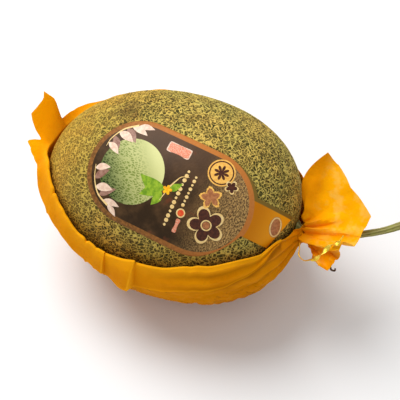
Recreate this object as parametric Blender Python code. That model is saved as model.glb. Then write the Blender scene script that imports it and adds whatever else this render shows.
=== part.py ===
"""Netted cantaloupe melon in its gift wrap, built as separate solids.

Run with: blender --background --factory-startup --python part.py
Units are metres.  +X runs along the melon towards its stem, -Y is the side
that the label faces, +Z is up, and the origin is the middle of the flat spot
that the wrapped melon rests on.
"""

import math

import bmesh
import bpy
from mathutils import Vector

# ---------------------------------------------------------------- the melon
MELON_RADIUS = 0.078
BLOSSOM_END_LENGTH = 0.106      # from the widest section to the blossom end
STEM_END_LENGTH = 0.095         # from the widest section to the stem end
STEM_END_FULLNESS = 2.3         # 2 is an ellipse, and more is blunter
REST_FLAT_DEPTH = 0.0015        # how much the underside is flattened where it rests

# ---------------------------------------------------------------- the wrap
WRAP_THICKNESS = 0.0009
WRAP_CLEARANCE = 0.0008         # between the melon and the sheet at the keel
NECK_SETBACK = 0.0065           # the tied neck's distance from the stem end
NECK_SPARE = 0.0016             # how much longer the neck is than the tie is wide
NECK_CLEARANCE = 0.0016         # between the stem and the gathered sheet
LEAVE_RADIUS = 0.030            # where the sheet leaves the melon for the neck
NECK_CONE_SLOPE = 1.0           # how steeply the sheet runs into the neck
KEEL_END = 0.050                # where the round blossom end of the wrap begins
FOLD_RADIUS = 0.0011            # of the turned-out hem

# ---------------------------------------------------------------- the stem
STEM_RADIUS = 0.0031
STEM_RIB_HEIGHT = 0.0004
STEM_FOOT_RADIUS = 0.0075
STEM_GAP = 0.0003               # between the foot and the melon
TENDRIL_RADIUS = 0.0009

# ---------------------------------------------------------------- the tie
TIE_WIDTH = 0.0034
TIE_THICKNESS = 0.0007
TIE_CLEARANCE = 0.0004          # between the tie and the neck

# ---------------------------------------------------------------- the label
LABEL_LENGTH = 0.125            # straight across, not round the melon
LABEL_WIDTH = 0.076
LABEL_THICKNESS = 0.0005
LABEL_GAP = 0.0004
LABEL_FACES = (0.126, -0.586, 0.801)
LABEL_TURN = -8.2               # degrees that its long axis is turned about that direction
LABEL_SHIFT = 0.0015            # of its middle towards the stem end
TAIL_SETBACK = 0.012            # of the tail's end from the stem end
TAIL_WIDTH = 0.029
TAIL_SIDE_SHIFT = 0.006
TAIL_SLANT = 0.25               # how much further its upper edge reaches, per unit across

CENTRE_Z = WRAP_THICKNESS + WRAP_CLEARANCE + MELON_RADIUS - REST_FLAT_DEPTH
MIDDLE = Vector((0.0, 0.0, CENTRE_Z))
NECK_X = STEM_END_LENGTH + NECK_SETBACK
NECK_LENGTH = TIE_WIDTH + NECK_SPARE
NECK_RADIUS = STEM_RADIUS + STEM_RIB_HEIGHT + NECK_CLEARANCE + WRAP_THICKNESS / 2
NECK = Vector((NECK_X + NECK_LENGTH / 2, 0.0, CENTRE_Z))
LABEL_REACH = STEM_END_LENGTH - TAIL_SETBACK


def material(name, colour, roughness, metallic=0.0):
    """A plain Principled material."""
    mat = bpy.data.materials.new(name)
    mat.use_nodes = True
    shader = mat.node_tree.nodes["Principled BSDF"]
    shader.inputs["Base Color"].default_value = (*colour, 1.0)
    shader.inputs["Roughness"].default_value = roughness
    shader.inputs["Metallic"].default_value = metallic
    return mat


def mesh_object(name, verts, faces, mat):
    """A smooth-shaded object from points and faces, with doubled points joined."""
    mesh = bpy.data.meshes.new(name)
    mesh.from_pydata([tuple(v) for v in verts], [], faces)
    mesh.materials.append(mat)
    shape = bmesh.new()
    shape.from_mesh(mesh)
    bmesh.ops.remove_doubles(shape, verts=shape.verts, dist=0.00001)
    bmesh.ops.recalc_face_normals(shape, faces=shape.faces)
    shape.to_mesh(mesh)
    shape.free()
    mesh.polygons.foreach_set("use_smooth", [True] * len(mesh.polygons))
    obj = bpy.data.objects.new(name, mesh)
    bpy.context.collection.objects.link(obj)
    return obj


def thicken(obj, thickness, offset=0.0):
    """Give a sheet its thickness about its own surface."""
    solid = obj.modifiers.new("thickness", "SOLIDIFY")
    solid.thickness = thickness
    solid.offset = offset
    solid.use_even_offset = True
    return obj


def smooth_step(value):
    value = min(max(value, 0.0), 1.0)
    return value * value * (3.0 - 2.0 * value)


def along(keys, position):
    """Read a smooth value from hand-set (position, value or tuple) keys."""
    for (left, before), (right, after) in zip(keys, keys[1:]):
        if position <= right:
            t = smooth_step((position - left) / (right - left))
            if isinstance(before, tuple):
                return tuple(b + (a - b) * t for b, a in zip(before, after))
            return before + (after - before) * t
    return keys[-1][1]


def curve_through(points, count):
    """An even run of points on a Catmull-Rom curve through the given ones."""
    pts = [Vector(p) for p in points]
    pts = [2 * pts[0] - pts[1]] + pts + [2 * pts[-1] - pts[-2]]
    spans = len(pts) - 3
    run = []
    for i in range(count + 1):
        s = min(i / count * spans, spans - 1e-9)
        k = int(s)
        t = s - k
        a, b, c, d = pts[k:k + 4]
        run.append(0.5 * ((2 * b) + (c - a) * t + (2 * a - 5 * b + 4 * c - d) * t * t
                          + (3 * b - a - 3 * c + d) * t ** 3))
    return run


def tube(path, section, first_side=(0.0, 0.0, 1.0)):
    """Sweep a closed section (a function of the share along) along a path."""
    verts, faces = [], []
    side = Vector(first_side)
    for i, point in enumerate(path):
        ahead = path[min(i + 1, len(path) - 1)] - path[max(i - 1, 0)]
        ahead.normalize()
        side = (side - ahead * side.dot(ahead)).normalized()
        other = ahead.cross(side)
        for u, v in section(i / (len(path) - 1)):
            verts.append(point + side * u + other * v)
    n = len(section(0.0))
    for i in range(len(path) - 1):
        for j in range(n):
            k = (j + 1) % n
            faces.append((i * n + j, i * n + k, (i + 1) * n + k, (i + 1) * n + j))
    faces.append(tuple(reversed(range(n))))
    faces.append(tuple((len(path) - 1) * n + j for j in range(n)))
    return verts, faces


# ================================================================ the melon

def melon_radius_at(x):
    """The melon's radius at a distance along it from its widest section."""
    if x < 0:
        return MELON_RADIUS * math.sqrt(max(0.0, 1 - (x / BLOSSOM_END_LENGTH) ** 2))
    full = STEM_END_FULLNESS
    return MELON_RADIUS * max(0.0, 1 - (x / STEM_END_LENGTH) ** full) ** (1 / full)


def build_melon():
    """The whole fruit, flattened a little where it rests."""
    rings, sides = 40, 48
    floor = WRAP_THICKNESS + WRAP_CLEARANCE
    verts, faces = [], []
    for i in range(rings + 1):
        slope = math.pi * i / rings
        x = -math.cos(slope)
        x *= BLOSSOM_END_LENGTH if x < 0 else STEM_END_LENGTH
        radius = melon_radius_at(x)
        for j in range(sides):
            turn = 2 * math.pi * j / sides
            z = CENTRE_Z - radius * math.cos(turn)
            verts.append((x, radius * math.sin(turn), max(z, floor)))
    for i in range(rings):
        for j in range(sides):
            k = (j + 1) % sides
            faces.append((i * sides + j, (i + 1) * sides + j,
                          (i + 1) * sides + k, i * sides + k))
    rind = material("melon_rind", (0.36, 0.30, 0.12), 0.6)
    return mesh_object("melon_fruit", verts, faces, rind)


# ================================================================ the wrap
# The sheet is one grid.  A column runs from the keel under the melon up to the
# rim.  Columns are numbered by track: -1 is the neck on the label side, 0 is
# the blossom end, 1 is the neck on the far side.  Between -ROUND and ROUND the
# columns fan about the keel's end.
ROUND = 0.4
# (track, (degrees up from the keel to the rim, clearance at the rim in metres))
RIM = [
    (-1.000, (210.0, 0.0000)),
    (-0.985, (148.0, 0.0010)),
    (-0.965, (125.0, 0.0022)),
    (-0.920, (113.0, 0.0026)),
    (-0.790, (105.5, 0.0022)),
    (-0.640, (98.5, 0.0020)),
    (-0.500, (95.5, 0.0020)),
    (-0.400, (97.0, 0.0020)),
    (-0.250, (106.0, 0.0025)),
    (-0.150, (112.0, 0.0035)),
    (-0.060, (107.0, 0.0045)),
    (0.000, (102.0, 0.0050)),
    (0.080, (108.0, 0.0060)),
    (0.200, (113.0, 0.0050)),
    (0.380, (111.0, 0.0040)),
    (0.480, (104.0, 0.0020)),
    (0.600, (100.0, 0.0015)),
    (0.900, (102.0, 0.0015)),
    (0.970, (118.0, 0.0015)),
    (1.000, (130.0, 0.0000)),
]
# (track, (hem length in metres, degrees that it is folded outward, sideways lean))
HEM = [
    (-0.940, (0.0140, 174.0, 0.0)),
    (-0.860, (0.0200, 174.0, 0.0)),
    (-0.400, (0.0210, 174.0, 0.0)),
    (-0.120, (0.0150, 172.0, 0.0)),
    (-0.075, (0.0060, 120.0, 0.0)),
    (-0.050, (0.0070, 75.0, 0.0)),
    (-0.012, (0.0135, 62.0, 0.1)),
    (-0.004, (0.0040, 60.0, 0.1)),
    (0.004, (0.0160, 50.0, 0.4)),
    (0.020, (0.0210, 46.0, 0.5)),
    (0.060, (0.0260, 44.0, 0.5)),
    (0.075, (0.0180, 42.0, 0.4)),
    (0.085, (0.0050, 60.0, 0.0)),
    (0.260, (0.0060, 160.0, 0.0)),
    (0.400, (0.0160, 174.0, 0.0)),
    (0.850, (0.0180, 174.0, 0.0)),
    (0.930, (0.0080, 176.0, 0.0)),
]
# The open end beyond the tie: (degrees round the neck, (edge point from the
# neck's middle, forward sag of the sheet on its way there)), in metres.
FLARE_NEAR = [
    (0.0, (0.015, 0.000, -0.014, 0.0)),
    (40.0, (0.017, -0.015, -0.012, 0.0)),
    (75.0, (0.0245, -0.0275, -0.001, 0.0)),
    (100.0, (0.0295, -0.0245, 0.005, 0.0)),
    (125.0, (0.0355, -0.0135, 0.016, 0.0)),
    (150.0, (0.0380, 0.0070, 0.020, 0.0)),
    (165.0, (0.0435, 0.0150, 0.0220, 0.0)),
    (178.0, (0.0355, 0.0200, 0.0260, -0.004)),
    (192.0, (0.0190, 0.0305, 0.0355, -0.009)),
    (210.0, (-0.0010, 0.0405, 0.0485, -0.014)),
]
FLARE_FAR = [
    (0.0, (0.015, 0.000, -0.014, 0.0)),
    (45.0, (0.017, 0.013, -0.012, 0.0)),
    (90.0, (0.020, 0.020, 0.000, 0.0)),
    (130.0, (0.017, 0.022, 0.011, 0.0)),
]
FAN_TRACKS = [-0.35, -0.3, -0.25, -0.2, -0.16, -0.12, -0.095, -0.075, -0.05, -0.03, -0.012, -0.004,
              0.004, 0.02, 0.04, 0.06, 0.075, 0.085, 0.12, 0.16, 0.2, 0.25, 0.3, 0.35]
NECK_TRACKS = [1.0, 0.993, 0.985, 0.975, 0.965, 0.956, 0.945, 0.93]
FLARE_PULL = 0.012              # how strongly the open end sets off along the stem
FLAT_HALF_ANGLE = math.acos(1 - REST_FLAT_DEPTH / (MELON_RADIUS + WRAP_CLEARANCE))
SHEET_FLOOR = WRAP_THICKNESS / 2


def leave_x():
    """Where the melon has narrowed to LEAVE_RADIUS."""
    full = STEM_END_FULLNESS
    return STEM_END_LENGTH * (1 - (LEAVE_RADIUS / MELON_RADIUS) ** full) ** (1 / full)


def melon_slope_at(x):
    """How fast the melon's radius grows with the distance along it."""
    step = 0.0002
    return (melon_radius_at(x + step) - melon_radius_at(x - step)) / (2 * step)


def sheet_radius_at(x, clearance):
    """The sheet's radius about the melon's axis, from its middle to the neck."""
    start = leave_x()
    if x <= start:
        return melon_radius_at(x) + clearance * math.hypot(1.0, melon_slope_at(x))
    slope = melon_slope_at(start)
    r0 = LEAVE_RADIUS + clearance * math.hypot(1.0, slope)
    span = NECK_X - start
    t = (x - start) / span
    return (r0 * (2 * t ** 3 - 3 * t * t + 1)
            + slope * span * (t ** 3 - 2 * t * t + t)
            + NECK_RADIUS * (3 * t * t - 2 * t ** 3)
            - NECK_CONE_SLOPE * span * (t ** 3 - t * t))


def reach_of_round_end(heading, polar, clearance):
    """Distance from the keel's end to the sheet round the blossom end."""
    direction = Vector((-math.cos(heading) * math.sin(polar),
                        math.sin(heading) * math.sin(polar), -math.cos(polar)))
    a = BLOSSOM_END_LENGTH + clearance
    b = MELON_RADIUS + clearance
    px, py, pz = direction.x / a, direction.y / b, direction.z / b
    start = -KEEL_END / a
    qa = px * px + py * py + pz * pz
    qb = start * px
    qc = start * start - 1
    return direction, (-qb + math.sqrt(qb * qb - qa * qc)) / qa


def cup_point(track, polar, clearance):
    """A point of the sheet where it hugs the melon."""
    side = -1 if track < 0 else 1
    if abs(track) < ROUND:
        heading = track / ROUND * math.pi / 2
        direction, reach = reach_of_round_end(heading, polar, clearance)
        point = MIDDLE + Vector((-KEEL_END, 0, 0)) + direction * reach
    else:
        x = NECK_X - (1 - abs(track)) / (1 - ROUND) * (NECK_X + KEEL_END)
        radius = sheet_radius_at(x, clearance)
        point = MIDDLE + Vector((x, side * radius * math.sin(polar), -radius * math.cos(polar)))
    point.z = max(point.z, SHEET_FLOOR)
    return point


def column_angles(top, rows):
    """Angles from the keel to the rim, with two rows on the resting flat."""
    flat = FLAT_HALF_ANGLE
    rest = [flat + (top - flat) * i / (rows - 2) for i in range(1, rows - 1)]
    return [0.0, flat / 2, flat] + rest


def cup_column(track, rows):
    rim_angle, rim_gap = along(RIM, track)
    top = math.radians(rim_angle)
    points = []
    for polar in column_angles(top, rows):
        gap = WRAP_CLEARANCE + (rim_gap - WRAP_CLEARANCE) * (polar / top) ** 2
        if abs(track) > 0.98:
            gap = 0.0
        points.append(cup_point(track, polar, gap + WRAP_THICKNESS / 2))
    return points


def hem_column(track, column, steps):
    """The hem turned outward at the rim of a column."""
    length, fold, lean = along(HEM, track)
    up = (column[-1] - column[-2]).normalized()
    flat_out = column[-1] - MIDDLE
    flat_out.x = flat_out.x + KEEL_END if abs(track) < ROUND else 0.0
    out = (flat_out - up * flat_out.dot(up)).normalized()
    fold = math.radians(fold)
    points = []
    for i in range(1, 5):
        angle = fold * i / 4
        points.append(column[-1] + up * FOLD_RADIUS * math.sin(angle)
                      + out * FOLD_RADIUS * (1 - math.cos(angle)))
    ahead = up * math.cos(fold) + out * math.sin(fold) + out.cross(up) * lean
    last = points[-1]
    points += [last + ahead * length * i / steps for i in range(1, steps + 1)]
    return points


def flare_column(side, share, rows):
    """A line of the open end, from under the stem round to the sheet's edge."""
    keys = FLARE_NEAR if side < 0 else FLARE_FAR
    points = []
    for turn in column_angles(math.radians(keys[-1][0]), rows):
        ex, ey, ez, sag = along(keys, math.degrees(turn))
        start = Vector((0, side * NECK_RADIUS * math.sin(turn), -NECK_RADIUS * math.cos(turn)))
        end = Vector((ex, ey, ez))
        t = share
        pull = Vector((FLARE_PULL, 0, 0))
        point = (start * (2 * t ** 3 - 3 * t * t + 1) + pull * (t ** 3 - 2 * t * t + t)
                 + end * (3 * t * t - 2 * t ** 3) + (end - start) * (t ** 3 - t * t))
        peak = 4 / 27           # the largest value of t * t * (1 - t)
        point.x += sag * t * t * (1 - t) / peak + NECK_LENGTH / 2 * (1 - t)
        points.append(NECK + point)
    return points


def build_wrap():
    """The sheet: a cup under the melon, a turned-out hem and a tied, flared end."""
    rows, hem_steps, flare_steps = 18, 4, 8
    side_columns = 17
    spread = NECK_TRACKS[-1] - ROUND
    straight = NECK_TRACKS + [NECK_TRACKS[-1] - spread * i / side_columns
                              for i in range(1, side_columns + 1)]
    tracks = [-s for s in straight] + FAN_TRACKS + straight[::-1]
    columns = [flare_column(-1, i / flare_steps, rows) for i in range(flare_steps, -1, -1)]
    hems = [None] * len(columns)
    for track in tracks:
        column = cup_column(track, rows)
        columns.append(column)
        has_hem = HEM[0][0] <= track <= HEM[-1][0]
        hems.append(hem_column(track, column, hem_steps) if has_hem else None)
    columns += [flare_column(1, i / flare_steps, rows) for i in range(flare_steps + 1)]
    hems += [None] * (flare_steps + 1)
    verts, faces = [], []
    starts = []
    for column, hem in zip(columns, hems):
        starts.append(len(verts))
        verts += column + (hem or [])
    for i in range(len(columns) - 1):
        height = len(columns[i])
        if hems[i] and hems[i + 1]:
            height += len(hems[i])
        for j in range(height - 1):
            a, b = starts[i] + j, starts[i + 1] + j
            faces.append((a, a + 1, b + 1, b))
    used = {v for face in faces for v in face}
    renumber = {v: n for n, v in enumerate(sorted(used))}
    verts = [verts[v] for v in sorted(used)]
    faces = [tuple(renumber[v] for v in face) for face in faces]
    sheet = material("wrap_sheet", (1.0, 0.34, 0.01), 0.75)
    obj = mesh_object("wrapper_sheet", verts, faces, sheet)
    return thicken(obj, WRAP_THICKNESS)


# ================================================================ the stem
# Points of the stem and the tendril, from the neck's middle
STEM_ROUTE = [(0.007, 0.0, 0.0), (0.025, 0.004, 0.0035), (0.0435, 0.0100, 0.0080),
              (0.0555, 0.0150, 0.0110), (0.069, 0.0230, 0.0165), (0.0775, 0.0285, 0.0210)]
TENDRIL_ROUTE = [(0.012, -0.0010, -0.0052), (0.0155, -0.0050, -0.0090), (0.0215, -0.0100, -0.0135),
                 (0.0270, -0.0135, -0.0165), (0.0300, -0.0135, -0.0165),
                 (0.0295, -0.0120, -0.0138)]


def ribbed(radius):
    """A ring of points that alternates between rib and furrow."""
    ring = []
    for j in range(12):
        turn = 2 * math.pi * j / 12
        r = radius + (STEM_RIB_HEIGHT if j % 2 == 0 else -STEM_RIB_HEIGHT)
        ring.append((r * math.cos(turn), r * math.sin(turn)))
    return ring


def build_stem():
    foot_x = STEM_END_LENGTH + STEM_GAP
    path = [Vector((foot_x + d, 0, CENTRE_Z)) for d in (0.0, 0.0008, 0.0018, 0.0035, NECK_SETBACK)]
    radii = [STEM_FOOT_RADIUS, STEM_FOOT_RADIUS * 0.92, STEM_FOOT_RADIUS * 0.7]
    route = curve_through([NECK + Vector(p) for p in STEM_ROUTE], 22)
    path += route
    steps = len(path) - 1

    def section(share):
        i = round(share * steps)
        return ribbed(radii[i] if i < len(radii) else STEM_RADIUS)

    verts, faces = tube(path, section)
    return mesh_object("stem", verts, faces, material("green_stem", (0.22, 0.24, 0.07), 0.7))


def build_tendril():
    path = curve_through([NECK + Vector(p) for p in TENDRIL_ROUTE], 18)

    def section(share):
        r = TENDRIL_RADIUS * (1 - 0.5 * share)
        return [(r * math.cos(a), r * math.sin(a)) for a in
                (2 * math.pi * j / 8 for j in range(8))]

    verts, faces = tube(path, section)
    dry = material("dry_tendril", (0.07, 0.035, 0.02), 0.8)
    return mesh_object("dried_tendril", verts, faces, dry)


# ================================================================ the tie
# The twisted tail, from the neck's middle, after the tie's turn round it
TIE_TAIL = [(0.0000, -0.0085, -0.0065), (0.0005, -0.0155, -0.0110), (0.0040, -0.0220, -0.0115),
            (0.0110, -0.0265, -0.0090), (0.0200, -0.0315, -0.0015), (0.0270, -0.0300, 0.0070),
            (0.0320, -0.0240, 0.0155), (0.0350, -0.0170, 0.0230)]
TIE_STARTS = 40.0               # degrees up the label side from under the neck
TIE_TURNS = 320.0               # degrees that it goes round before the tail
TAIL_TWIST = 720.0              # degrees


def build_tie():
    """A flat foil strip, nearly once round the neck, then twisted into a tail."""
    radius = NECK_RADIUS + WRAP_THICKNESS / 2 + TIE_CLEARANCE + TIE_THICKNESS / 2
    strip = [(-TIE_WIDTH / 2, -TIE_THICKNESS / 2), (TIE_WIDTH / 2, -TIE_THICKNESS / 2),
             (TIE_WIDTH / 2, TIE_THICKNESS / 2), (-TIE_WIDTH / 2, TIE_THICKNESS / 2)]
    ring_steps, tail_steps = 28, 44
    ring = []
    for i in range(ring_steps + 1):
        turn = math.radians(TIE_STARTS - TIE_TURNS * i / ring_steps)
        ring.append(NECK + Vector((0, -radius * math.sin(turn), -radius * math.cos(turn))))
    tail = curve_through([ring[-1]] + [NECK + Vector(p) for p in TIE_TAIL], tail_steps)
    path = ring + tail[1:]

    def section(share):
        into_tail = (share * (len(path) - 1) - ring_steps) / tail_steps
        angle = math.radians(TAIL_TWIST) * max(0.0, into_tail)
        return [(w * math.cos(angle) - t * math.sin(angle), w * math.sin(angle) + t * math.cos(angle))
                for w, t in strip]

    verts, faces = tube(path, section, first_side=(1.0, 0.0, 0.0))
    return mesh_object("twist_tie", verts, faces, material("gold_foil", (0.9, 0.6, 0.12), 0.3, 1.0))


# ================================================================ the label

def label_frame():
    """The way the label faces, and its two axes square to that."""
    face = Vector(LABEL_FACES).normalized()
    level = Vector((1.0, 0.0, 0.0))
    level = (level - face * level.dot(face)).normalized()
    turn = math.radians(LABEL_TURN)
    lengthwise = level * math.cos(turn) + face.cross(level) * math.sin(turn)
    return face, lengthwise, face.cross(lengthwise)


def height_over_melon(point):
    """Distance from a point near the melon to its skin, square to the skin."""
    length, full = STEM_END_LENGTH, STEM_END_FULLNESS
    if point.x < 0:
        length, full = BLOSSOM_END_LENGTH, 2.0
    out = math.hypot(point.y, point.z)
    size = ((abs(point.x) / length) ** full + (out / MELON_RADIUS) ** full) ** (1 / full)
    rise_along = (abs(point.x) / (length * size)) ** (full - 1) / length
    rise_out = (out / (MELON_RADIUS * size)) ** (full - 1) / MELON_RADIUS
    return (size - 1) / math.hypot(rise_along, rise_out)


def drop_on_melon(point, direction, offset):
    """Move a point against a direction until it is offset from the melon's skin."""
    step = 0.002
    high = MELON_RADIUS + BLOSSOM_END_LENGTH
    while height_over_melon(point + direction * (high - step)) > offset:
        high -= step
    low = high - step
    for _ in range(20):
        mid = (low + high) / 2
        if height_over_melon(point + direction * mid) > offset:
            high = mid
        else:
            low = mid
    return point + direction * high


def build_label():
    """A stadium-shaped sticker with a tail that runs down to the tied end."""
    face, lengthwise, across = label_frame()
    half = LABEL_WIDTH / 2
    left = -LABEL_LENGTH / 2 + LABEL_SHIFT
    right = LABEL_LENGTH / 2 + LABEL_SHIFT
    bend = STEM_END_LENGTH + LABEL_GAP
    start, stop = math.asin(left / bend), math.asin(LABEL_REACH / bend)
    rows = 14
    slices = [start + (stop - start) * i / 40 for i in range(41)]
    verts, faces = [], []
    for angle in slices:
        p = bend * math.sin(angle)
        inner = min(p - left, right - p, half)
        cap = math.sqrt(max(0.0, half * half - (half - inner) ** 2)) if inner > 0 else 0.0
        top, bottom = cap, -cap
        if p > 0:
            top = max(top, TAIL_SIDE_SHIFT + TAIL_WIDTH / 2)
            bottom = min(bottom, TAIL_SIDE_SHIFT - TAIL_WIDTH / 2)
        for j in range(rows + 1):
            q = bottom + (top - bottom) * j / rows
            slant = TAIL_SLANT * q * smooth_step((p - right + half) / (LABEL_REACH - right + half))
            start_point = lengthwise * (p + slant) + across * q
            skin = drop_on_melon(start_point, face, LABEL_GAP + LABEL_THICKNESS / 2)
            verts.append(MIDDLE + skin)
    for i in range(len(slices) - 1):
        for j in range(rows):
            a = i * (rows + 1) + j
            b = a + rows + 1
            faces.append((a, b, b + 1, a + 1))
    obj = mesh_object("label_sticker", verts, faces, material("label_paper", (0.11, 0.06, 0.04), 0.35))
    return thicken(obj, LABEL_THICKNESS)


def main():
    for obj in list(bpy.data.objects):
        bpy.data.objects.remove(obj, do_unlink=True)
    build_melon()
    build_wrap()
    build_stem()
    build_tendril()
    build_tie()
    build_label()


main()
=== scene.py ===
"""A netted melon in its tied wrap: the fruit, the sheet, the stem, the tie and the sticker.

Units are metres. +X runs along the melon towards its stem, -Y is the side that
the sticker leans to, +Z is up, and the origin is under the middle of the fruit.
"""

import math

import bmesh
import bpy
import numpy as np
from bpy.props import FloatProperty, FloatVectorProperty, PointerProperty
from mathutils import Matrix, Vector, noise
from mathutils.geometry import delaunay_2d_cdt


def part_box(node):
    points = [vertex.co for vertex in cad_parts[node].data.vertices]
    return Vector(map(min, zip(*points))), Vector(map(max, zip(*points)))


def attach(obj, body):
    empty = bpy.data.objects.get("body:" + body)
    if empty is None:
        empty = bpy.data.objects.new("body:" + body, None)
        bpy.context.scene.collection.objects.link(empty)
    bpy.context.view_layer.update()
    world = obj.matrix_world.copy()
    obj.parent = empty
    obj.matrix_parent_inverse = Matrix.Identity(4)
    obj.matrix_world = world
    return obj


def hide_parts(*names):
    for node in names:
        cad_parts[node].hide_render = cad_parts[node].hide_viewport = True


bl_info = {
    "name": "Wrapped Netted Melon",
    "version": (1, 0, 0),
    "blender": (4, 5, 0),
    "location": "View3D > Sidebar > Melon",
    "description": "Builds a netted melon in its tied wrap, with its stem, tie and sticker",
    "category": "Add Mesh",
}

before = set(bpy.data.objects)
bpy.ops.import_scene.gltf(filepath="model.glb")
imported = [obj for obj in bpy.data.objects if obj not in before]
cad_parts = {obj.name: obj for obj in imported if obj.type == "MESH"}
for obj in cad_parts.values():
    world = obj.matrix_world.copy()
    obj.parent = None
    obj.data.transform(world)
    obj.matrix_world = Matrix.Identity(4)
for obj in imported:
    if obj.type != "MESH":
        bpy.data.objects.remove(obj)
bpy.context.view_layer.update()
MELON_LOW, MELON_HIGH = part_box("melon_fruit")

# ---------------------------------------------------------------- shared sizes
MILLIMETRES = 1000.0                    # in a metre: the materials' patterns are sized in them
BLOSSOM_END = -MELON_LOW.x              # from the widest section to the blossom end
STEM_END = MELON_HIGH.x                 # from the widest section to the stem end
MELON_RADIUS = MELON_HIGH.y
MELON_FLOOR = MELON_LOW.z               # the underside's resting flat
MIDDLE = Vector((0.0, 0.0, MELON_HIGH.z - MELON_RADIUS))
STEM_END_FULLNESS = 2.3                 # 2 is an ellipse, and more is blunter

STEM_RADIUS = 0.0031
NECK_X = STEM_END + 0.0065
NECK_LENGTH = 0.005
NECK_RADIUS = 0.00555                   # of the middle of the gathered sheet
NECK = Vector((NECK_X + NECK_LENGTH / 2, 0.0, MIDDLE.z))
LEAVE_RADIUS = 0.030                    # where the sheet leaves the melon for the neck
NECK_CONE_SLOPE = 1.0
KEEL_END = 0.050                        # where the round blossom end of the wrap begins
ROUND = 0.4                             # tracks under this fan round the blossom end
FOLD_RADIUS = 0.0011                    # of the turned-out hem
KEEL_GAP = 0.0008                       # between the melon and the sheet underneath
SHEET_HALF = 0.00045                    # from the sheet's middle to the melon's clearance


# ================================================================ small helpers

def smooth_step(value):
    """An eased rise from 0 to 1 as the value goes from 0 to 1."""
    value = min(max(value, 0.0), 1.0)
    return value * value * (3.0 - 2.0 * value)


def along(keys, position):
    """Read a smooth value from given (position, value or tuple) keys."""
    if position <= keys[0][0]:
        return keys[0][1]
    for (left, before), (right, after) in zip(keys, keys[1:]):
        if position <= right:
            t = smooth_step((position - left) / (right - left))
            if isinstance(before, tuple):
                return tuple(b + (a - b) * t for b, a in zip(before, after))
            return before + (after - before) * t
    return keys[-1][1]


def bridge(start, leave, end, arrive, t):
    """A cubic from start to end that leaves and arrives at the given slopes."""
    return (start * (2 * t ** 3 - 3 * t * t + 1) + leave * (t ** 3 - 2 * t * t + t)
            + end * (3 * t * t - 2 * t ** 3) + arrive * (t ** 3 - t * t))


def ripple(a, b, seed):
    """Smooth repeatable unevenness between -1 and 1, about one swell for each whole number."""
    return noise.noise(Vector((a, b, seed)))


def curve_through(points, count):
    """An even run of points on a Catmull-Rom curve through the given ones."""
    pts = [Vector(p) for p in points]
    pts = [2 * pts[0] - pts[1]] + pts + [2 * pts[-1] - pts[-2]]
    spans = len(pts) - 3
    run = []
    for i in range(count + 1):
        s = min(i / count * spans, spans - 1e-9)
        k = int(s)
        t = s - k
        a, b, c, d = pts[k:k + 4]
        run.append(0.5 * ((2 * b) + (c - a) * t + (2 * a - 5 * b + 4 * c - d) * t * t
                          + (3 * b - a - 3 * c + d) * t ** 3))
    return run


def new_piece(name, verts, faces, materials, replaced=()):
    """A smooth-shaded mesh object that rides on the melon's one body."""
    mesh = bpy.data.meshes.new(name)
    mesh.from_pydata([tuple(v) for v in verts], [], faces)
    mesh.validate()
    shape = bmesh.new()
    shape.from_mesh(mesh)
    bmesh.ops.recalc_face_normals(shape, faces=shape.faces)
    shape.to_mesh(mesh)
    shape.free()
    for mat in materials:
        mesh.materials.append(mat)
    mesh.polygons.foreach_set("use_smooth", [True] * len(mesh.polygons))
    mesh.update()
    piece = bpy.data.objects.new(name, mesh)
    bpy.context.scene.collection.objects.link(piece)
    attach(piece, "root")
    for node in replaced:
        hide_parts(node)
    return piece


def note_places(piece, name, places):
    """Keep a place for each vertex, for the material's patterns to follow."""
    spots = piece.data.attributes.new(name, "FLOAT_VECTOR", "POINT")
    spots.data.foreach_set("vector", np.asarray(places, dtype=np.float32).ravel())


def apply_modifiers(piece):
    """Turn the piece's modifiers into its mesh."""
    with bpy.context.temp_override(object=piece, active_object=piece, selected_objects=[piece]):
        for modifier in list(piece.modifiers):
            bpy.ops.object.modifier_apply(modifier=modifier.name)


def thicken(piece, thickness):
    """Give a sheet its thickness, half on each side."""
    solid = piece.modifiers.new("thickness", "SOLIDIFY")
    solid.thickness = thickness
    solid.offset = 0.0
    apply_modifiers(piece)


def ring_faces(rings, sides):
    """Faces between closed rings of vertices, one ring after another."""
    faces = []
    for i in range(rings - 1):
        for j in range(sides):
            k = (j + 1) % sides
            faces.append((i * sides + j, i * sides + k, (i + 1) * sides + k, (i + 1) * sides + j))
    return faces


def sweep(path, section, first_side=(0.0, 0.0, 1.0)):
    """Sweep a closed section (a function of the share along) along a path, and cap its ends."""
    verts = []
    side = Vector(first_side)
    for i, point in enumerate(path):
        ahead = path[min(i + 1, len(path) - 1)] - path[max(i - 1, 0)]
        ahead.normalize()
        side = (side - ahead * side.dot(ahead)).normalized()
        other = ahead.cross(side)
        for u, v in section(i / (len(path) - 1)):
            verts.append(point + side * u + other * v)
    sides = len(verts) // len(path)
    faces = ring_faces(len(path), sides)
    faces.append(tuple(reversed(range(sides))))
    faces.append(tuple(range(len(verts) - sides, len(verts))))
    return verts, faces


# ================================================================ node trees

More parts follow.
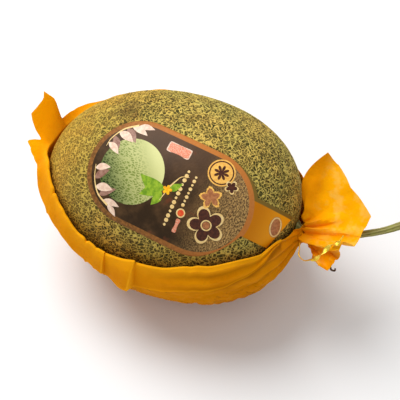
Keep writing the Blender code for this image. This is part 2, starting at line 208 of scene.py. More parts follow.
class Recipe:
    """Short calls for adding linked nodes to a shader or geometry tree."""

    def __init__(self, tree):
        self.tree = tree

    def add(self, kind, **settings):
        """A new node with some of its settings."""
        node = self.tree.nodes.new(kind)
        for key, value in settings.items():
            setattr(node, key, value)
        return node

    def put(self, socket, value):
        """Link another node's output to a socket, or set its value."""
        if isinstance(value, bpy.types.NodeSocket):
            self.tree.links.new(value, socket)
        else:
            socket.default_value = value

    def math(self, operation, a, b=0.0):
        """Arithmetic on one or two values."""
        node = self.add("ShaderNodeMath", operation=operation)
        self.put(node.inputs[0], a)
        self.put(node.inputs[1], b)
        return node.outputs[0]

    def vector(self, operation, a, b=(0.0, 0.0, 0.0), scale=None):
        """Arithmetic on places, or the length of one."""
        node = self.add("ShaderNodeVectorMath", operation=operation)
        self.put(node.inputs[0], a)
        if scale is None:
            self.put(node.inputs[1], b)
        else:
            self.put(node.inputs["Scale"], scale)
        return node.outputs["Value" if operation == "LENGTH" else "Vector"]

    def spread(self, value, low, high, to_low=0.0, to_high=1.0, smooth=True):
        """Spread low..high of a value over to_low..to_high."""
        node = self.add("ShaderNodeMapRange", interpolation_type="SMOOTHSTEP" if smooth else "LINEAR")
        for name, given in (("Value", value), ("From Min", low), ("From Max", high),
                            ("To Min", to_low), ("To Max", to_high)):
            self.put(node.inputs[name], given)
        return node.outputs[0]

    def blend(self, share, a, b, way="MIX"):
        """Blend two colours."""
        node = self.add("ShaderNodeMix", data_type="RGBA", blend_type=way)
        self.put(node.inputs[0], share)
        self.put(node.inputs[6], a if isinstance(a, bpy.types.NodeSocket) else (*a, 1.0))
        self.put(node.inputs[7], b if isinstance(b, bpy.types.NodeSocket) else (*b, 1.0))
        return node.outputs[2]

    def cloud(self, place, scale, detail=2.0, roughness=0.5):
        """Soft noise between 0 and 1."""
        node = self.add("ShaderNodeTexNoise")
        self.put(node.inputs["Vector"], place)
        self.put(node.inputs["Scale"], scale)
        self.put(node.inputs["Detail"], detail)
        self.put(node.inputs["Roughness"], roughness)
        return node.outputs[0]

    def jostled(self, place, start, scale, reach):
        """A place moved about by soft noise that is read at its start."""
        node = self.add("ShaderNodeTexNoise")
        self.put(node.inputs["Vector"], start)
        self.put(node.inputs["Scale"], scale)
        self.put(node.inputs["Detail"], 1.0)
        shift = self.vector("SUBTRACT", node.outputs["Color"], (0.5, 0.5, 0.5))
        return self.vector("ADD", place, self.vector("SCALE", shift, scale=reach))

    def cells(self, place, scale, randomness=1.0):
        """Distance to the edge of the irregular cell that a place lies in."""
        node = self.add("ShaderNodeTexVoronoi", feature="DISTANCE_TO_EDGE")
        self.put(node.inputs["Vector"], place)
        self.put(node.inputs["Scale"], scale)
        self.put(node.inputs["Randomness"], randomness)
        return node.outputs["Distance"]

    def split(self, place):
        """The three coordinates of a place."""
        node = self.add("ShaderNodeSeparateXYZ")
        self.put(node.inputs[0], place)
        return node.outputs


def shaded(name, roughness, metallic=0.0, **sockets):
    """A Principled material with its even values set, and its recipe."""
    mat = bpy.data.materials.new(name)
    mat.use_nodes = True
    shader = mat.node_tree.nodes["Principled BSDF"]
    shader.inputs["Roughness"].default_value = roughness
    shader.inputs["Metallic"].default_value = metallic
    for key, value in sockets.items():
        shader.inputs[key.replace("_", " ")].default_value = value
    return mat, shader, Recipe(mat.node_tree)


def kept_place(recipe, name):
    """The place that note_places kept, in millimetres."""
    spot = recipe.add("ShaderNodeAttribute", attribute_name=name)
    return recipe.vector("SCALE", spot.outputs["Vector"], scale=MILLIMETRES)


def raised(recipe, shader, height, strength, distance):
    """Bump from a height between 0 and 1."""
    bump = recipe.add("ShaderNodeBump")
    bump.inputs["Strength"].default_value = strength
    bump.inputs["Distance"].default_value = distance
    recipe.put(bump.inputs["Height"], height)
    recipe.put(shader.inputs["Normal"], bump.outputs[0])


# ================================================================ settings

def colour_setting(name, description, default):
    """A colour to choose in the panel."""
    return FloatVectorProperty(name=name, description=description, size=3, subtype="COLOR",
                               default=default, min=0.0, max=1.0)


def length_setting(name, description, default, low, high):
    """A length to choose in the panel."""
    return FloatProperty(name=name, description=description, default=default, min=low, max=high,
                         unit="LENGTH")


class MelonRindSettings(bpy.types.PropertyGroup):
    """Sizes and colours of the netted rind."""
    cell: FloatProperty(name="Net cell", description="Distance between the net's pits, in millimetres",
                        default=2.7, min=1.0, max=8.0)
    depth: length_setting("Pit depth", "How deep the pits lie below the net", 0.00050, 0.0, 0.002)
    net_colour: colour_setting("Net", "Colour of the corky net", (0.68, 0.46, 0.085))
    net_green: colour_setting("Green net", "Colour of the net where it is greener", (0.54, 0.43, 0.085))
    pit_colour: colour_setting("Pits", "Colour of the skin between the net", (0.045, 0.042, 0.009))


class MelonWrapSettings(bpy.types.PropertyGroup):
    """Sizes and colours of the wrapping sheet."""
    thickness: length_setting("Thickness", "Thickness of the sheet", 0.0004, 0.0001, 0.001)
    gathers: length_setting("Gathers", "Height of the pleats that run into the neck", 0.0012, 0.0, 0.003)
    colour: colour_setting("Colour", "Colour of the sheet", (0.76, 0.262, 0.0008))


class MelonStickerSettings(bpy.types.PropertyGroup):
    """Sizes and colours of the sticker."""
    length: length_setting("Length", "Length of the oval, straight across", 0.125, 0.05, 0.16)
    width: length_setting("Width", "Width of the oval", 0.076, 0.03, 0.1)
    rim: length_setting("Rim", "Width of the copper rim", 0.0036, 0.0, 0.01)
    field_colour: colour_setting("Field", "Colour of the dark field", (0.036, 0.020, 0.009))
    rim_colour: colour_setting("Rim", "Colour of the copper rim", (0.50, 0.17, 0.035))


class MelonStageSettings(bpy.types.PropertyGroup):
    """The light and the floor."""
    soft_light: FloatProperty(name="Soft light", description="Strength of the light from all round",
                              default=0.54, min=0.0, max=5.0)
    top_light: FloatProperty(name="Top light", description="Power of the large light overhead",
                             default=16.5, min=0.0, max=500.0, unit="POWER")
    floor_colour: colour_setting("Floor", "Colour of the floor", (0.88, 0.88, 0.88))


# ================================================================ the fruit
OPEN_HALF = math.radians(118.0)         # the rind is fine as far as this on each side of its top
SCUFF_AT = (-40.0, 7.0, 148.0)          # middle of the brown scuff, in millimetres


def melon_radius_at(x):
    """The melon's radius at a distance along it from its widest section."""
    if x < 0:
        return MELON_RADIUS * math.sqrt(max(0.0, 1 - (x / BLOSSOM_END) ** 2))
    full = STEM_END_FULLNESS
    return MELON_RADIUS * max(0.0, 1 - (x / STEM_END) ** full) ** (1 / full)


def net_pits(recipe, place, cell):
    """Where the pits between the net lie, from 0 on the net to 1 in a pit, and the bent place."""
    bent = recipe.jostled(place, place, 0.16, 9.0)
    bent = recipe.jostled(bent, place, 0.75, 0.3)
    longer_cells = recipe.vector("MULTIPLY", bent, (0.80, 1.05, 1.05))
    edge = recipe.cells(longer_cells, 1.0 / cell, randomness=0.72)
    width = recipe.spread(recipe.cloud(place, 0.12, 2.0), 0.3, 0.7, 0.018, 0.080, smooth=False)
    return recipe.spread(recipe.math("SUBTRACT", edge, width), 0.0, 0.09), bent


def net_relief(depth, cell):
    """A geometry tree that sinks the pits into the rind."""
    tree = bpy.data.node_groups.new("Sink the pits", "GeometryNodeTree")
    tree.interface.new_socket("Geometry", in_out="INPUT", socket_type="NodeSocketGeometry")
    tree.interface.new_socket("Geometry", in_out="OUTPUT", socket_type="NodeSocketGeometry")
    recipe = Recipe(tree)
    given, result = recipe.add("NodeGroupInput"), recipe.add("NodeGroupOutput")
    kept = recipe.add("GeometryNodeInputNamedAttribute", data_type="FLOAT_VECTOR")
    kept.inputs["Name"].default_value = "rind_place"
    place = recipe.vector("SCALE", kept.outputs["Attribute"], scale=MILLIMETRES)
    pits, _ = net_pits(recipe, place, cell)
    swell = recipe.spread(recipe.cloud(place, 0.35, 2.0), 0.3, 0.7, 0.0, 0.35)
    sink = recipe.math("MULTIPLY", recipe.math("ADD", pits, swell), -depth)
    facing = recipe.add("GeometryNodeInputNormal")
    offset = recipe.vector("SCALE", facing.outputs[0], scale=sink)
    moved = recipe.add("GeometryNodeSetPosition")
    tree.links.new(given.outputs[0], moved.inputs["Geometry"])
    tree.links.new(offset, moved.inputs["Offset"])
    tree.links.new(moved.outputs[0], result.inputs[0])
    return tree


def rind_material(rind):
    """Corky tan net over dark green-brown skin, with warmer and greener patches, and painted shade low down.
    """
    mat, shader, recipe = shaded("netted_rind", 0.70, Specular_IOR_Level=0.12)
    place = kept_place(recipe, "rind_place")
    pits, bent = net_pits(recipe, place, rind.cell)
    patch = recipe.spread(recipe.cloud(place, 0.030, 3.0, 0.6), 0.38, 0.62)
    net = recipe.blend(patch, tuple(rind.net_colour), tuple(rind.net_green))
    grain = recipe.cloud(place, 2.2, 3.0, 0.7)
    net = recipe.blend(recipe.spread(grain, 0.35, 0.75, 0.0, 0.55), net, (0.73, 0.54, 0.17))
    rust = recipe.spread(recipe.cloud(recipe.vector("ADD", place, (40.0, 0.0, 7.0)), 0.055, 3.0, 0.65),
                         0.56, 0.72, 0.0, 0.50)
    net = recipe.blend(rust, net, (0.40, 0.22, 0.040))
    from_scuff = recipe.vector("LENGTH", recipe.vector("SUBTRACT", place, SCUFF_AT))
    ragged_edge = recipe.spread(recipe.cloud(place, 0.16, 3.0), 0.2, 0.8, -9.0, 9.0)
    ragged = recipe.math("ADD", from_scuff, ragged_edge)
    net = recipe.blend(recipe.spread(ragged, 16.0, 6.0, 0.0, 0.65), net, (0.25, 0.155, 0.045))
    pit = recipe.blend(recipe.spread(recipe.cloud(place, 0.09, 2.0), 0.35, 0.65),
                       tuple(rind.pit_colour), (0.075, 0.048, 0.010))
    shallow = recipe.spread(recipe.cloud(place, 0.45, 2.0), 0.30, 0.62, 0.70, 1.0)
    x, y, z = recipe.split(place)
    shallow = recipe.math("MULTIPLY", shallow, recipe.spread(x, -105.0, -20.0, 0.62, 1.0))
    colour = recipe.blend(recipe.math("MULTIPLY", pits, shallow), net, pit)
    warmer = recipe.spread(x, 5.0, -95.0, smooth=False)
    colour = recipe.blend(warmer, colour, (0.88, 0.70, 0.37), "MULTIPLY")
    # painted shade and painted orange reflection of the sheet: the rind is darker and warmer lower down
    low = recipe.spread(recipe.math("SUBTRACT", z, recipe.math("MULTIPLY", y, -0.15)), 108.0, 78.0)
    colour = recipe.blend(low, colour, (0.68, 0.53, 0.28), "MULTIPLY")
    recipe.put(shader.inputs["Base Color"], colour)
    cork = recipe.cloud(bent, 1.5, 4.0, 0.65)
    height = recipe.math("SUBTRACT", recipe.math("MULTIPLY", cork, 0.45), pits)
    raised(recipe, shader, height, 0.55, 0.0006)
    return mat


def build_fruit(rind):
    """The whole netted fruit, finer where it shows above the sheet."""
    rings, exposed, hidden = 330, 330, 44
    turns = [-OPEN_HALF + 2 * OPEN_HALF * j / exposed for j in range(exposed)]
    turns += [OPEN_HALF + (2 * math.pi - 2 * OPEN_HALF) * j / hidden for j in range(hidden)]
    verts = []
    for i in range(rings + 1):
        slope = math.pi * i / rings
        x = -math.cos(slope)
        x *= BLOSSOM_END if x < 0 else STEM_END
        radius = melon_radius_at(x)
        for turn in turns:
            z = MIDDLE.z + radius * math.cos(turn)
            verts.append((x, radius * math.sin(turn), max(z, MELON_FLOOR)))
    faces = ring_faces(rings + 1, len(turns))
    piece = new_piece("melon_rind", verts, faces, [rind_material(rind)], ["melon_fruit"])
    note_places(piece, "rind_place", verts)
    relief = piece.modifiers.new("net", "NODES")
    relief.node_group = net_relief(rind.depth, rind.cell)
    apply_modifiers(piece)


# ================================================================ the sheet
# The sheet is one grid.  A column runs from the keel under the melon up to the
# rim.  Columns are numbered by track: -1 is the neck on the sticker's side, 0 is
# the blossom end, 1 is the neck on the far side.  The tables are given below.
SHEET_ROWS = 84                         # of vertices from the keel to the rim
FOLD_STEPS = 5                          # round the fold at the rim
HEM_STEPS = 11                          # from the fold to the hem's cut edge
NEAR_STEPS = 46                         # from the neck to the open end, on the sticker's side
FAR_STEPS = 30                          # and on the far side
PANEL_TURN = 600.0                      # degrees that the rim climbs for each metre of panel edge
CREASE_DIP = 1900.0                     # degrees that the rim dips for each metre of crease
PANEL_LEAN = 42.0                       # sideways lean of the hem for each metre of panel edge
RIM_RUN = 6                             # rows below the rim that show which way it points
SPILL_BACK = 0.0045                     # how far the open end bulges back over the tie
SHARP_FOLD = math.radians(34.0)         # sharper folds than this aren't shaded smooth
# Spacing of the columns: (from track, to track, step)
TRACK_STEPS = [(-0.9985, -0.93, 0.0035), (-0.93, -ROUND, 0.0048), (-ROUND, 0.14, 0.0060),
               (0.14, ROUND, 0.0090), (ROUND, 0.93, 0.0085), (0.93, 1.0, 0.0060)]
# (track, (degrees up from the keel to the rim, clearance at the rim))
RIM = [
    (-1.000, (210.0, 0.0000)), (-0.985, (148.0, 0.0010)), (-0.965, (125.0, 0.0022)),
    (-0.920, (113.0, 0.0026)), (-0.790, (105.5, 0.0022)), (-0.640, (98.5, 0.0020)),
    (-0.500, (95.5, 0.0017)), (-0.410, (98.0, 0.0015)), (-0.320, (106.5, 0.0012)), (-0.250, (112.5, 0.0012)),
    (-0.150, (117.0, 0.0014)), (-0.060, (110.0, 0.0024)), (0.000, (104.0, 0.0030)),
    (0.080, (109.0, 0.0026)), (0.160, (113.0, 0.0012)), (0.300, (120.0, 0.0008)),
    (0.420, (121.0, 0.0010)), (0.520, (114.0, 0.0012)), (0.640, (100.0, 0.0012)), (0.880, (98.0, 0.0008)),
    (0.960, (108.0, 0.0008)), (1.000, (130.0, 0.0000)),
]
# (track, (hem length, degrees that it is folded outward, sideways lean))
HEM = [
    (-0.960, (0.0020, 174.0, 0.0)), (-0.935, (0.0085, 174.0, 0.0)), (-0.900, (0.0150, 174.0, 0.0)),
    (-0.850, (0.0195, 174.0, 0.0)), (-0.570, (0.0205, 174.0, 0.0)),
    (-0.470, (0.0180, 174.0, 0.0)), (-0.320, (0.0180, 174.0, 0.0)),
    (-0.200, (0.0165, 172.0, 0.0)), (-0.120, (0.0100, 160.0, 0.0)), (-0.085, (0.0100, 138.0, 0.0)),
    (-0.060, (0.0115, 114.0, 0.0)), (-0.040, (0.0150, 97.0, 0.0)), (-0.036, (0.0150, 95.0, 0.0)),
    (-0.028, (0.0105, 87.0, 0.05)), (-0.019, (0.0050, 76.0, 0.1)), (-0.010, (0.0145, 62.0, 0.15)),
    (-0.002, (0.0225, 56.0, 0.24)), (0.002, (0.0255, 55.0, 0.26)), (0.012, (0.0260, 53.0, 0.28)),
    (0.034, (0.0275, 47.0, 0.32)), (0.040, (0.0290, 46.0, 0.32)), (0.043, (0.0335, 46.0, 0.30)),
    (0.046, (0.0290, 44.0, 0.32)), (0.058, (0.0260, 37.0, 0.24)), (0.069, (0.0205, 33.0, 0.12)),
    (0.078, (0.0050, 60.0, 0.0)), (0.260, (0.0060, 160.0, 0.0)), (0.400, (0.0160, 174.0, 0.0)),
    (0.780, (0.0150, 174.0, 0.0)), (0.860, (0.0050, 176.0, 0.0)),
]
# The open end: (degrees round the neck, (edge point from the neck's middle, sag))
FLARE_NEAR = [
    (0.0, (0.0110, -0.0030, -0.0145, 0.0)), (35.0, (0.0125, -0.0165, -0.0075, 0.0)),
    (58.0, (0.0175, -0.0235, -0.0025, 0.0)), (74.0, (0.0220, -0.0260, -0.0010, 0.0)),
    (88.0, (0.0280, -0.0225, 0.0040, 0.0)), (98.0, (0.0250, -0.0190, 0.0055, 0.0)),
    (110.0, (0.0270, -0.0140, 0.0090, 0.0)), (120.0, (0.0310, -0.0135, 0.0125, 0.0)),
    (132.0, (0.0375, -0.0105, 0.0140, 0.0)), (145.0, (0.0390, -0.0020, 0.0180, 0.0)),
    (157.0, (0.0410, 0.0060, 0.0190, 0.0)), (165.0, (0.0425, 0.0145, 0.0225, 0.0)),
    (173.0, (0.0350, 0.0200, 0.0270, -0.0020)), (181.0, (0.0285, 0.0235, 0.0310, -0.0040)),
    (187.0, (0.0220, 0.0260, 0.0340, -0.0060)), (193.0, (0.0170, 0.0305, 0.0380, -0.0090)),
    (201.0, (0.0080, 0.0360, 0.0435, -0.0120)), (210.0, (-0.0010, 0.0400, 0.0485, -0.0140)),
]
FLARE_FAR = [
    (0.0, (0.0150, 0.0000, -0.0140, 0.0)), (45.0, (0.0170, 0.0130, -0.0120, 0.0)),
    (90.0, (0.0200, 0.0200, 0.0000, 0.0)), (130.0, (0.0170, 0.0220, 0.0110, 0.0)),
]
# Overlapped panels of the hem: (track of the free edge, height, spread in tracks, extra hem length)
PANELS = [(-0.500, 0.0018, 0.060, 0.0), (-0.600, 0.0036, 0.100, 0.0060)]
# Creases across the hem: (track, height, half width in tracks)
CREASES = [(-0.268, 0.0013, 0.006), (-0.432, 0.0011, 0.005), (-0.345, 0.0005, 0.012),
           (-0.468, 0.0005, 0.005), (-0.180, 0.0005, 0.008), (-0.760, 0.0003, 0.010),
           (0.130, 0.0007, 0.008), (0.520, 0.0006, 0.006), (0.660, 0.0008, 0.008), (0.790, 0.0006, 0.006)]


def melon_slope_at(x):
    """How fast the melon's radius grows along it."""
    step = 0.0002
    return (melon_radius_at(x + step) - melon_radius_at(x - step)) / (2 * step)


def sheet_radius_at(x, clearance):
    """The sheet's radius about the melon's axis: along its skin, then off it to the neck."""
    full = STEM_END_FULLNESS
    start = STEM_END * (1 - (LEAVE_RADIUS / MELON_RADIUS) ** full) ** (1 / full)
    if x <= start:
        return melon_radius_at(x) + clearance * math.hypot(1.0, melon_slope_at(x))
    slope = melon_slope_at(start)
    leaves_at = LEAVE_RADIUS + clearance * math.hypot(1.0, slope)
    span = NECK_X - start
    return bridge(leaves_at, slope * span, NECK_RADIUS, -NECK_CONE_SLOPE * span, (x - start) / span)


def track_x(track):
    """How far along the melon a straight track lies."""
    return NECK_X - (1 - abs(track)) / (1 - ROUND) * (NECK_X + KEEL_END)


def cup_point(track, polar, clearance):
    """A point of the sheet where it hugs the melon."""
    side = -1 if track < 0 else 1
    if abs(track) < ROUND:
        heading = track / ROUND * math.pi / 2
        way = Vector((-math.cos(heading) * math.sin(polar),
                      math.sin(heading) * math.sin(polar), -math.cos(polar)))
        a, b = BLOSSOM_END + clearance, MELON_RADIUS + clearance
        px, py, pz = way.x / a, way.y / b, way.z / b
        start = -KEEL_END / a
        qa = px * px + py * py + pz * pz
        qb = start * px
        reach = (-qb + math.sqrt(qb * qb - qa * (start * start - 1))) / qa
        return MIDDLE + Vector((-KEEL_END, 0, 0)) + way * reach
    x = track_x(track)
    radius = sheet_radius_at(x, clearance)
    return MIDDLE + Vector((x, side * radius * math.sin(polar), -radius * math.cos(polar)))


def panel_rise(track):
    """How far the overlapped panels lift the sheet."""
    rise = 0.0
    for edge, height, spread, _ in PANELS:
        if track >= edge:
            rise = max(rise, height * smooth_step(1 - (track - edge) / spread))
    return rise


def crease_rise(track):
    """How far the creases across the hem stand up."""
    return sum(height * math.exp(-((track - at) / half) ** 2) for at, height, half in CREASES)


def cup_gathers(track, polar):
    """How hard the tie pulls the cup here, and the swell of its gathers from 0 to 1."""
    if abs(track) <= ROUND:
        return 0.0, 0.0
    x = track_x(track)
    eased_at_neck = 1 - smooth_step((x - 0.094) / 0.012) * 0.75
    pull = smooth_step((x - 0.040) / 0.055) * eased_at_neck
    sway = 1.3 * ripple(x * 38, polar * 2.2, 3.0) + 0.7 * ripple(x * 90, polar * 5, 8.0)
    return pull, 0.5 + 0.5 * math.sin(polar * 17 + sway * 2.0)


def hem_gathers(track, share):
    """The same for the hem, from its fold (0) to its cut edge (1)."""
    pull = smooth_step((-track - 0.62) / 0.2)
    return pull, 0.5 + 0.5 * math.sin(share * 10.5 + 1.2 + 2.2 * ripple(track * 7, share * 1.5, 25.0))


def cup_height(track, polar, top, gathers):
    """Gathers, wrinkles and panel edges of the hugging part, outward from the melon."""
    share = polar / top
    near_rim = smooth_step((share - 0.70) / 0.25)
    below_hem = 1 - smooth_step((share - 0.70) / 0.15)
    pull, wave = cup_gathers(track, polar)
    rise = 0.4 * panel_rise(track) * near_rim + gathers * pull * wave ** 1.6
    # sharp wandering wrinkles underneath, in patches
    line = 1 - abs(ripple(track * 26 + 3, polar * 9 + 1.5 * ripple(track * 9, polar * 3, 2.0), 5.0))
    patchy = 0.4 + 0.6 * smooth_step(0.5 - ripple(track * 5, 0, 9))
    rise += 0.0024 * below_hem * max(0.0, line - 0.66) / 0.34 * patchy
    # slow unevenness everywhere
    rise += 0.0004 * (1 + ripple(track * 12, polar * 2.5, 11.0))
    return rise


def hem_height(track, share):
    """How far the hem stands off, from its fold (0) to its cut edge (1)."""
    loose = 0.0004 + 0.0006 * (1 + ripple(track * 13, share * 0.8, 21.0))
    loose += 0.0012 * smooth_step((-track - 0.70) / 0.10) * smooth_step((share - 0.55) / 0.45)
    fine = 0.0006 * abs(ripple(track * 24, share * 1.3, 29.0))
    creases = crease_rise(track) * (0.55 - 0.35 * share)
    panels = panel_rise(track) * 0.6 * smooth_step(share / 0.3)
    pull, wave = hem_gathers(track, share)
    return creases + panels + (loose + fine) * share + 0.0019 * pull * wave ** 2.2


def flare_height(side, share, turn, gathers):
    """Gathers that spread from the neck, folds, crumples and the ruffled lower edge."""
    grow = smooth_step(share / 0.25)
    sway = ripple(share * 2.2, turn * 1.4, 31.0 + side)
    # gathers close to the neck, and broad waves that open out of them
    spokes = math.sin(turn * 15 + 2.4 * sway)
    near_neck = grow * (1 - smooth_step((share - 0.35) / 0.6))
    rise = gathers * 1.2 * near_neck * spokes
    rise += 0.0016 * grow * math.sin(turn * 6.5 + 1.5 + 2.0 * sway) * share ** 0.7
    # ruffles of the lower edge
    low = 1 - smooth_step((turn - 1.5) / 0.7)
    rise += 0.0030 * low * math.sin(turn * 13 + 2.0 * sway) * share ** 1.5
    # crumples, from soft to fine
    rise += 0.0017 * ripple(turn * 3.4, share * 3.0, 37.0) * grow
    rise += 0.0016 * (abs(ripple(turn * 5.0, share * 4.2, 39.0)) - 0.2) * grow
    rise += 0.0004 * ripple(turn * 11, share * 9.0, 41.0) * grow
    if side < 0:
        # the large fold with the trough beside it, and a lesser fold above them
        fold = 2.02 + 0.22 * (share - 0.5)
        rise += 0.0056 * grow * math.exp(-((turn - fold) / 0.13) ** 2)
        rise -= 0.0070 * grow * math.exp(-((turn - fold + 0.32) / 0.17) ** 2)
        rise += 0.0020 * grow * math.exp(-((turn - 2.62) / 0.10) ** 2)
    return rise


def flare_line(side, share, gathers):
    """A line of the open end, from under the stem round to the sheet's edge, and its heights."""
    keys = FLARE_NEAR if side < 0 else FLARE_FAR
    bow = 8.0 * share ** 2 * (1 - share) ** 2 + 3.6 * share ** 2 * (1 - share)
    points, heights = [], []
    for i in range(SHEET_ROWS):
        turn = math.radians(keys[-1][0]) * i / (SHEET_ROWS - 1)
        ex, ey, ez, sag = along(keys, math.degrees(turn))
        start = Vector((0, side * NECK_RADIUS * math.sin(turn), -NECK_RADIUS * math.cos(turn)))
        end = Vector((ex, ey, ez)) * (1 + 0.015 * ripple(turn * 8, side, 43.0))
        out = Vector((0, side * math.sin(turn), -math.cos(turn)))
        spill = smooth_step((turn - 1.2) / 0.7) if side < 0 else 0.3
        # below the stem it leaves the neck forwards, and higher up it spills outwards and back
        leave = Vector((0.012 - 0.020 * spill, 0, 0)) + out * 0.026 * spill
        point = bridge(start, leave, end, end - start, share)
        point.x += sag * bow + NECK_LENGTH / 2 * (1 - share)
        point.x -= SPILL_BACK * spill * math.exp(-((share - 0.16) / 0.10) ** 2)
        points.append(NECK + point)
        heights.append(flare_height(side, share, turn, gathers))
    return points, heights


def cup_line(track, top, rim_gap, gathers):
    """A column of the cup, from the keel up to its rim's angle, and its heights."""
    points, heights = [], []
    for i in range(SHEET_ROWS):
        polar = top * i / (SHEET_ROWS - 1)
        gap = KEEL_GAP + (rim_gap - KEEL_GAP) * (polar / top) ** 2
        if abs(track) > 0.98:           # pressed together by the tie
            gap = 0.0
        points.append(cup_point(track, polar, gap + SHEET_HALF))
        heights.append(cup_height(track, polar, top, gathers))
    return points, heights


def hem_line(track, column):
    """The hem turned outward at the rim of a column."""
    length, fold, lean = along(HEM, track)
    for edge, height, spread, longer in PANELS:
        if track >= edge:
            share = smooth_step(1 - (track - edge) / spread)
            length += longer * share
            lean += PANEL_LEAN * height * share
    length *= 1 + 0.02 * ripple(track * 14, 0.0, 27.0)
    up = (column[-1] - column[-1 - RIM_RUN]).normalized()
    flat_out = column[-1] - MIDDLE
    flat_out.x = flat_out.x + KEEL_END if abs(track) < ROUND else 0.0
    out = (flat_out - up * flat_out.dot(up)).normalized()
    fold = math.radians(fold)
    points = []
    for i in range(1, FOLD_STEPS + 1):
        angle = fold * i / FOLD_STEPS
        points.append(column[-1] + up * FOLD_RADIUS * math.sin(angle)
                      + out * FOLD_RADIUS * (1 - math.cos(angle)))
    ahead = up * math.cos(fold) + out * math.sin(fold) + out.cross(up) * lean
    last = points[-1]
    for i in range(1, HEM_STEPS + 1):
        share = i / HEM_STEPS
        points.append(last + ahead * length * share + out * hem_height(track, share))
    return points


def sheet_tracks():
    """The columns' tracks, closer together near the neck and at the panel edges."""
    tracks = [-1.0, 1.0]
    for start, stop, step in TRACK_STEPS:
        tracks += list(np.arange(start, stop, step))
    for edge, *_ in PANELS:
        tracks += [edge - 0.0015, edge - 0.0003, edge, edge + 0.0015]
    return sorted({round(float(t), 5) for t in tracks})


def cup_colour(recipe, wrap, place, fibre):
    """The sheet where it hugs the fruit: uneven, fibrous, with the net faintly showing through."""
    tone = recipe.spread(recipe.cloud(place, 0.05, 3.0, 0.6), 0.35, 0.7)
    colour = recipe.blend(tone, tuple(wrap.colour), (0.66, 0.210, 0.0006))
    colour = recipe.blend(recipe.spread(fibre, 0.35, 0.70, 0.0, 0.30), colour, (0.78, 0.32, 0.006))
    pressed = recipe.spread(recipe.cells(place, 1.0 / 2.9), 0.10, 0.35)
    patchy = recipe.spread(recipe.cloud(place, 0.07, 2.0), 0.45, 0.65, 0.0, 0.16)
    return recipe.blend(recipe.math("MULTIPLY", pressed, patchy), colour, (0.40, 0.13, 0.001))


def free_end_colour(recipe, place, z):
    """The open end, painted brighter for light shining through it: paler painted patches of light, and
    painted shade by the tie and in the low ruffles.
    """
    neck = NECK * MILLIMETRES
    # painted light: paler patches of light shining through the sheet, and sheen
    glow = recipe.spread(recipe.cloud(place, 0.075, 3.0, 0.6), 0.45, 0.60)
    colour = recipe.blend(glow, (1.0, 0.405, 0.0015), (0.96, 0.465, 0.050))
    # painted shade near the tie
    from_tie = recipe.vector("LENGTH", recipe.vector("SUBTRACT", place, tuple(neck)))
    colour = recipe.blend(recipe.spread(from_tie, 30.0, 6.0, 0.0, 0.9), colour, (0.80, 0.225, 0.0006))
    # painted shade in the low ruffles
    low = recipe.spread(z, neck.z - 3.0, neck.z - 12.0, 0.0, 0.7)
    return recipe.blend(low, colour, (0.52, 0.205, 0.002))


def wrinkle_shade_lines(recipe, place, z):
    """Thin wandering lines of painted shade along wrinkles low on the sheet, in patches."""
    wander = recipe.cloud(recipe.vector("MULTIPLY", place, (0.8, 1.0, 1.6)), 0.052, 3.0, 0.5)
    line = recipe.spread(recipe.math("ABSOLUTE", recipe.math("SUBTRACT", wander, 0.5)), 0.014, 0.0)
    patch = recipe.spread(recipe.cloud(place, 0.025, 1.0), 0.44, 0.56)
    line = recipe.math("MULTIPLY", line, patch)
    return recipe.math("MULTIPLY", line, recipe.spread(z, 74.0, 54.0, 0.0, 0.9))


def wrap_material(wrap):
    """Waxy non-woven sheet: short pressed fibres, faint show-through of the net, with painted light and
    shade.
    """
    mat, shader, recipe = shaded("orange_sheet", 0.66, Specular_IOR_Level=0.03, Subsurface_Weight=0.12,
                                 Subsurface_Scale=0.003)
    shader.inputs["Specular Tint"].default_value = (1.0, 0.6, 0.1, 1.0)
    shader.inputs["Subsurface Radius"].default_value = (1.0, 0.45, 0.05)
    place = kept_place(recipe, "sheet_place")
    x, _, z = recipe.split(place)
    fibre = recipe.cloud(recipe.vector("MULTIPLY", place, (0.5, 1.6, 1.6)), 2.4, 4.0, 0.7)
    colour = cup_colour(recipe, wrap, place, fibre)
    # beyond the neck the sheet takes the open end's brighter colour with its painted light and shade
    past_neck = recipe.spread(x, NECK.x * MILLIMETRES - 3.0, NECK.x * MILLIMETRES + 9.0)
    colour = recipe.blend(past_neck, colour, free_end_colour(recipe, place, z))
    # painted light: the standing flap at the blossom end is brighter
    flap_painted_light = recipe.spread(x, -107.0, -116.0, 0.0, 0.75)
    colour = recipe.blend(flap_painted_light, colour, (0.93, 0.335, 0.0008))
    folds, hem_shadow, trough_shade = recipe.split(kept_place(recipe, "sheet_painted_light"))
    # painted shadow under the hem, then painted shade in the troughs between the gathers
    colour = recipe.blend(recipe.math("MULTIPLY", hem_shadow, 0.70), colour, (0.22, 0.062, 0.001))
    colour = recipe.blend(recipe.math("MULTIPLY", trough_shade, 0.60), colour, (0.34, 0.110, 0.001))
    line = wrinkle_shade_lines(recipe, place, z)
    # painted shade along the wrinkles
    colour = recipe.blend(line, colour, (0.24, 0.070, 0.001))
    # painted shade: the sheet is darker lower down
    colour = recipe.blend(recipe.spread(z, 84.0, 36.0, smooth=False), colour, (0.80, 0.78, 0.80), "MULTIPLY")
    # painted highlight along the folds and the free and cut edges
    colour = recipe.blend(recipe.math("MULTIPLY", folds, 0.65), colour, (1.0, 0.44, 0.010))
    recipe.put(shader.inputs["Base Color"], colour)
    crumple = recipe.cloud(place, 0.22, 5.0, 0.55)
    height = recipe.math("ADD", crumple, recipe.math("MULTIPLY", fibre, 0.18))
    height = recipe.math("SUBTRACT", height, recipe.math("MULTIPLY", line, 0.8))
    raised(recipe, shader, height, 0.32, 0.0016)
    return mat


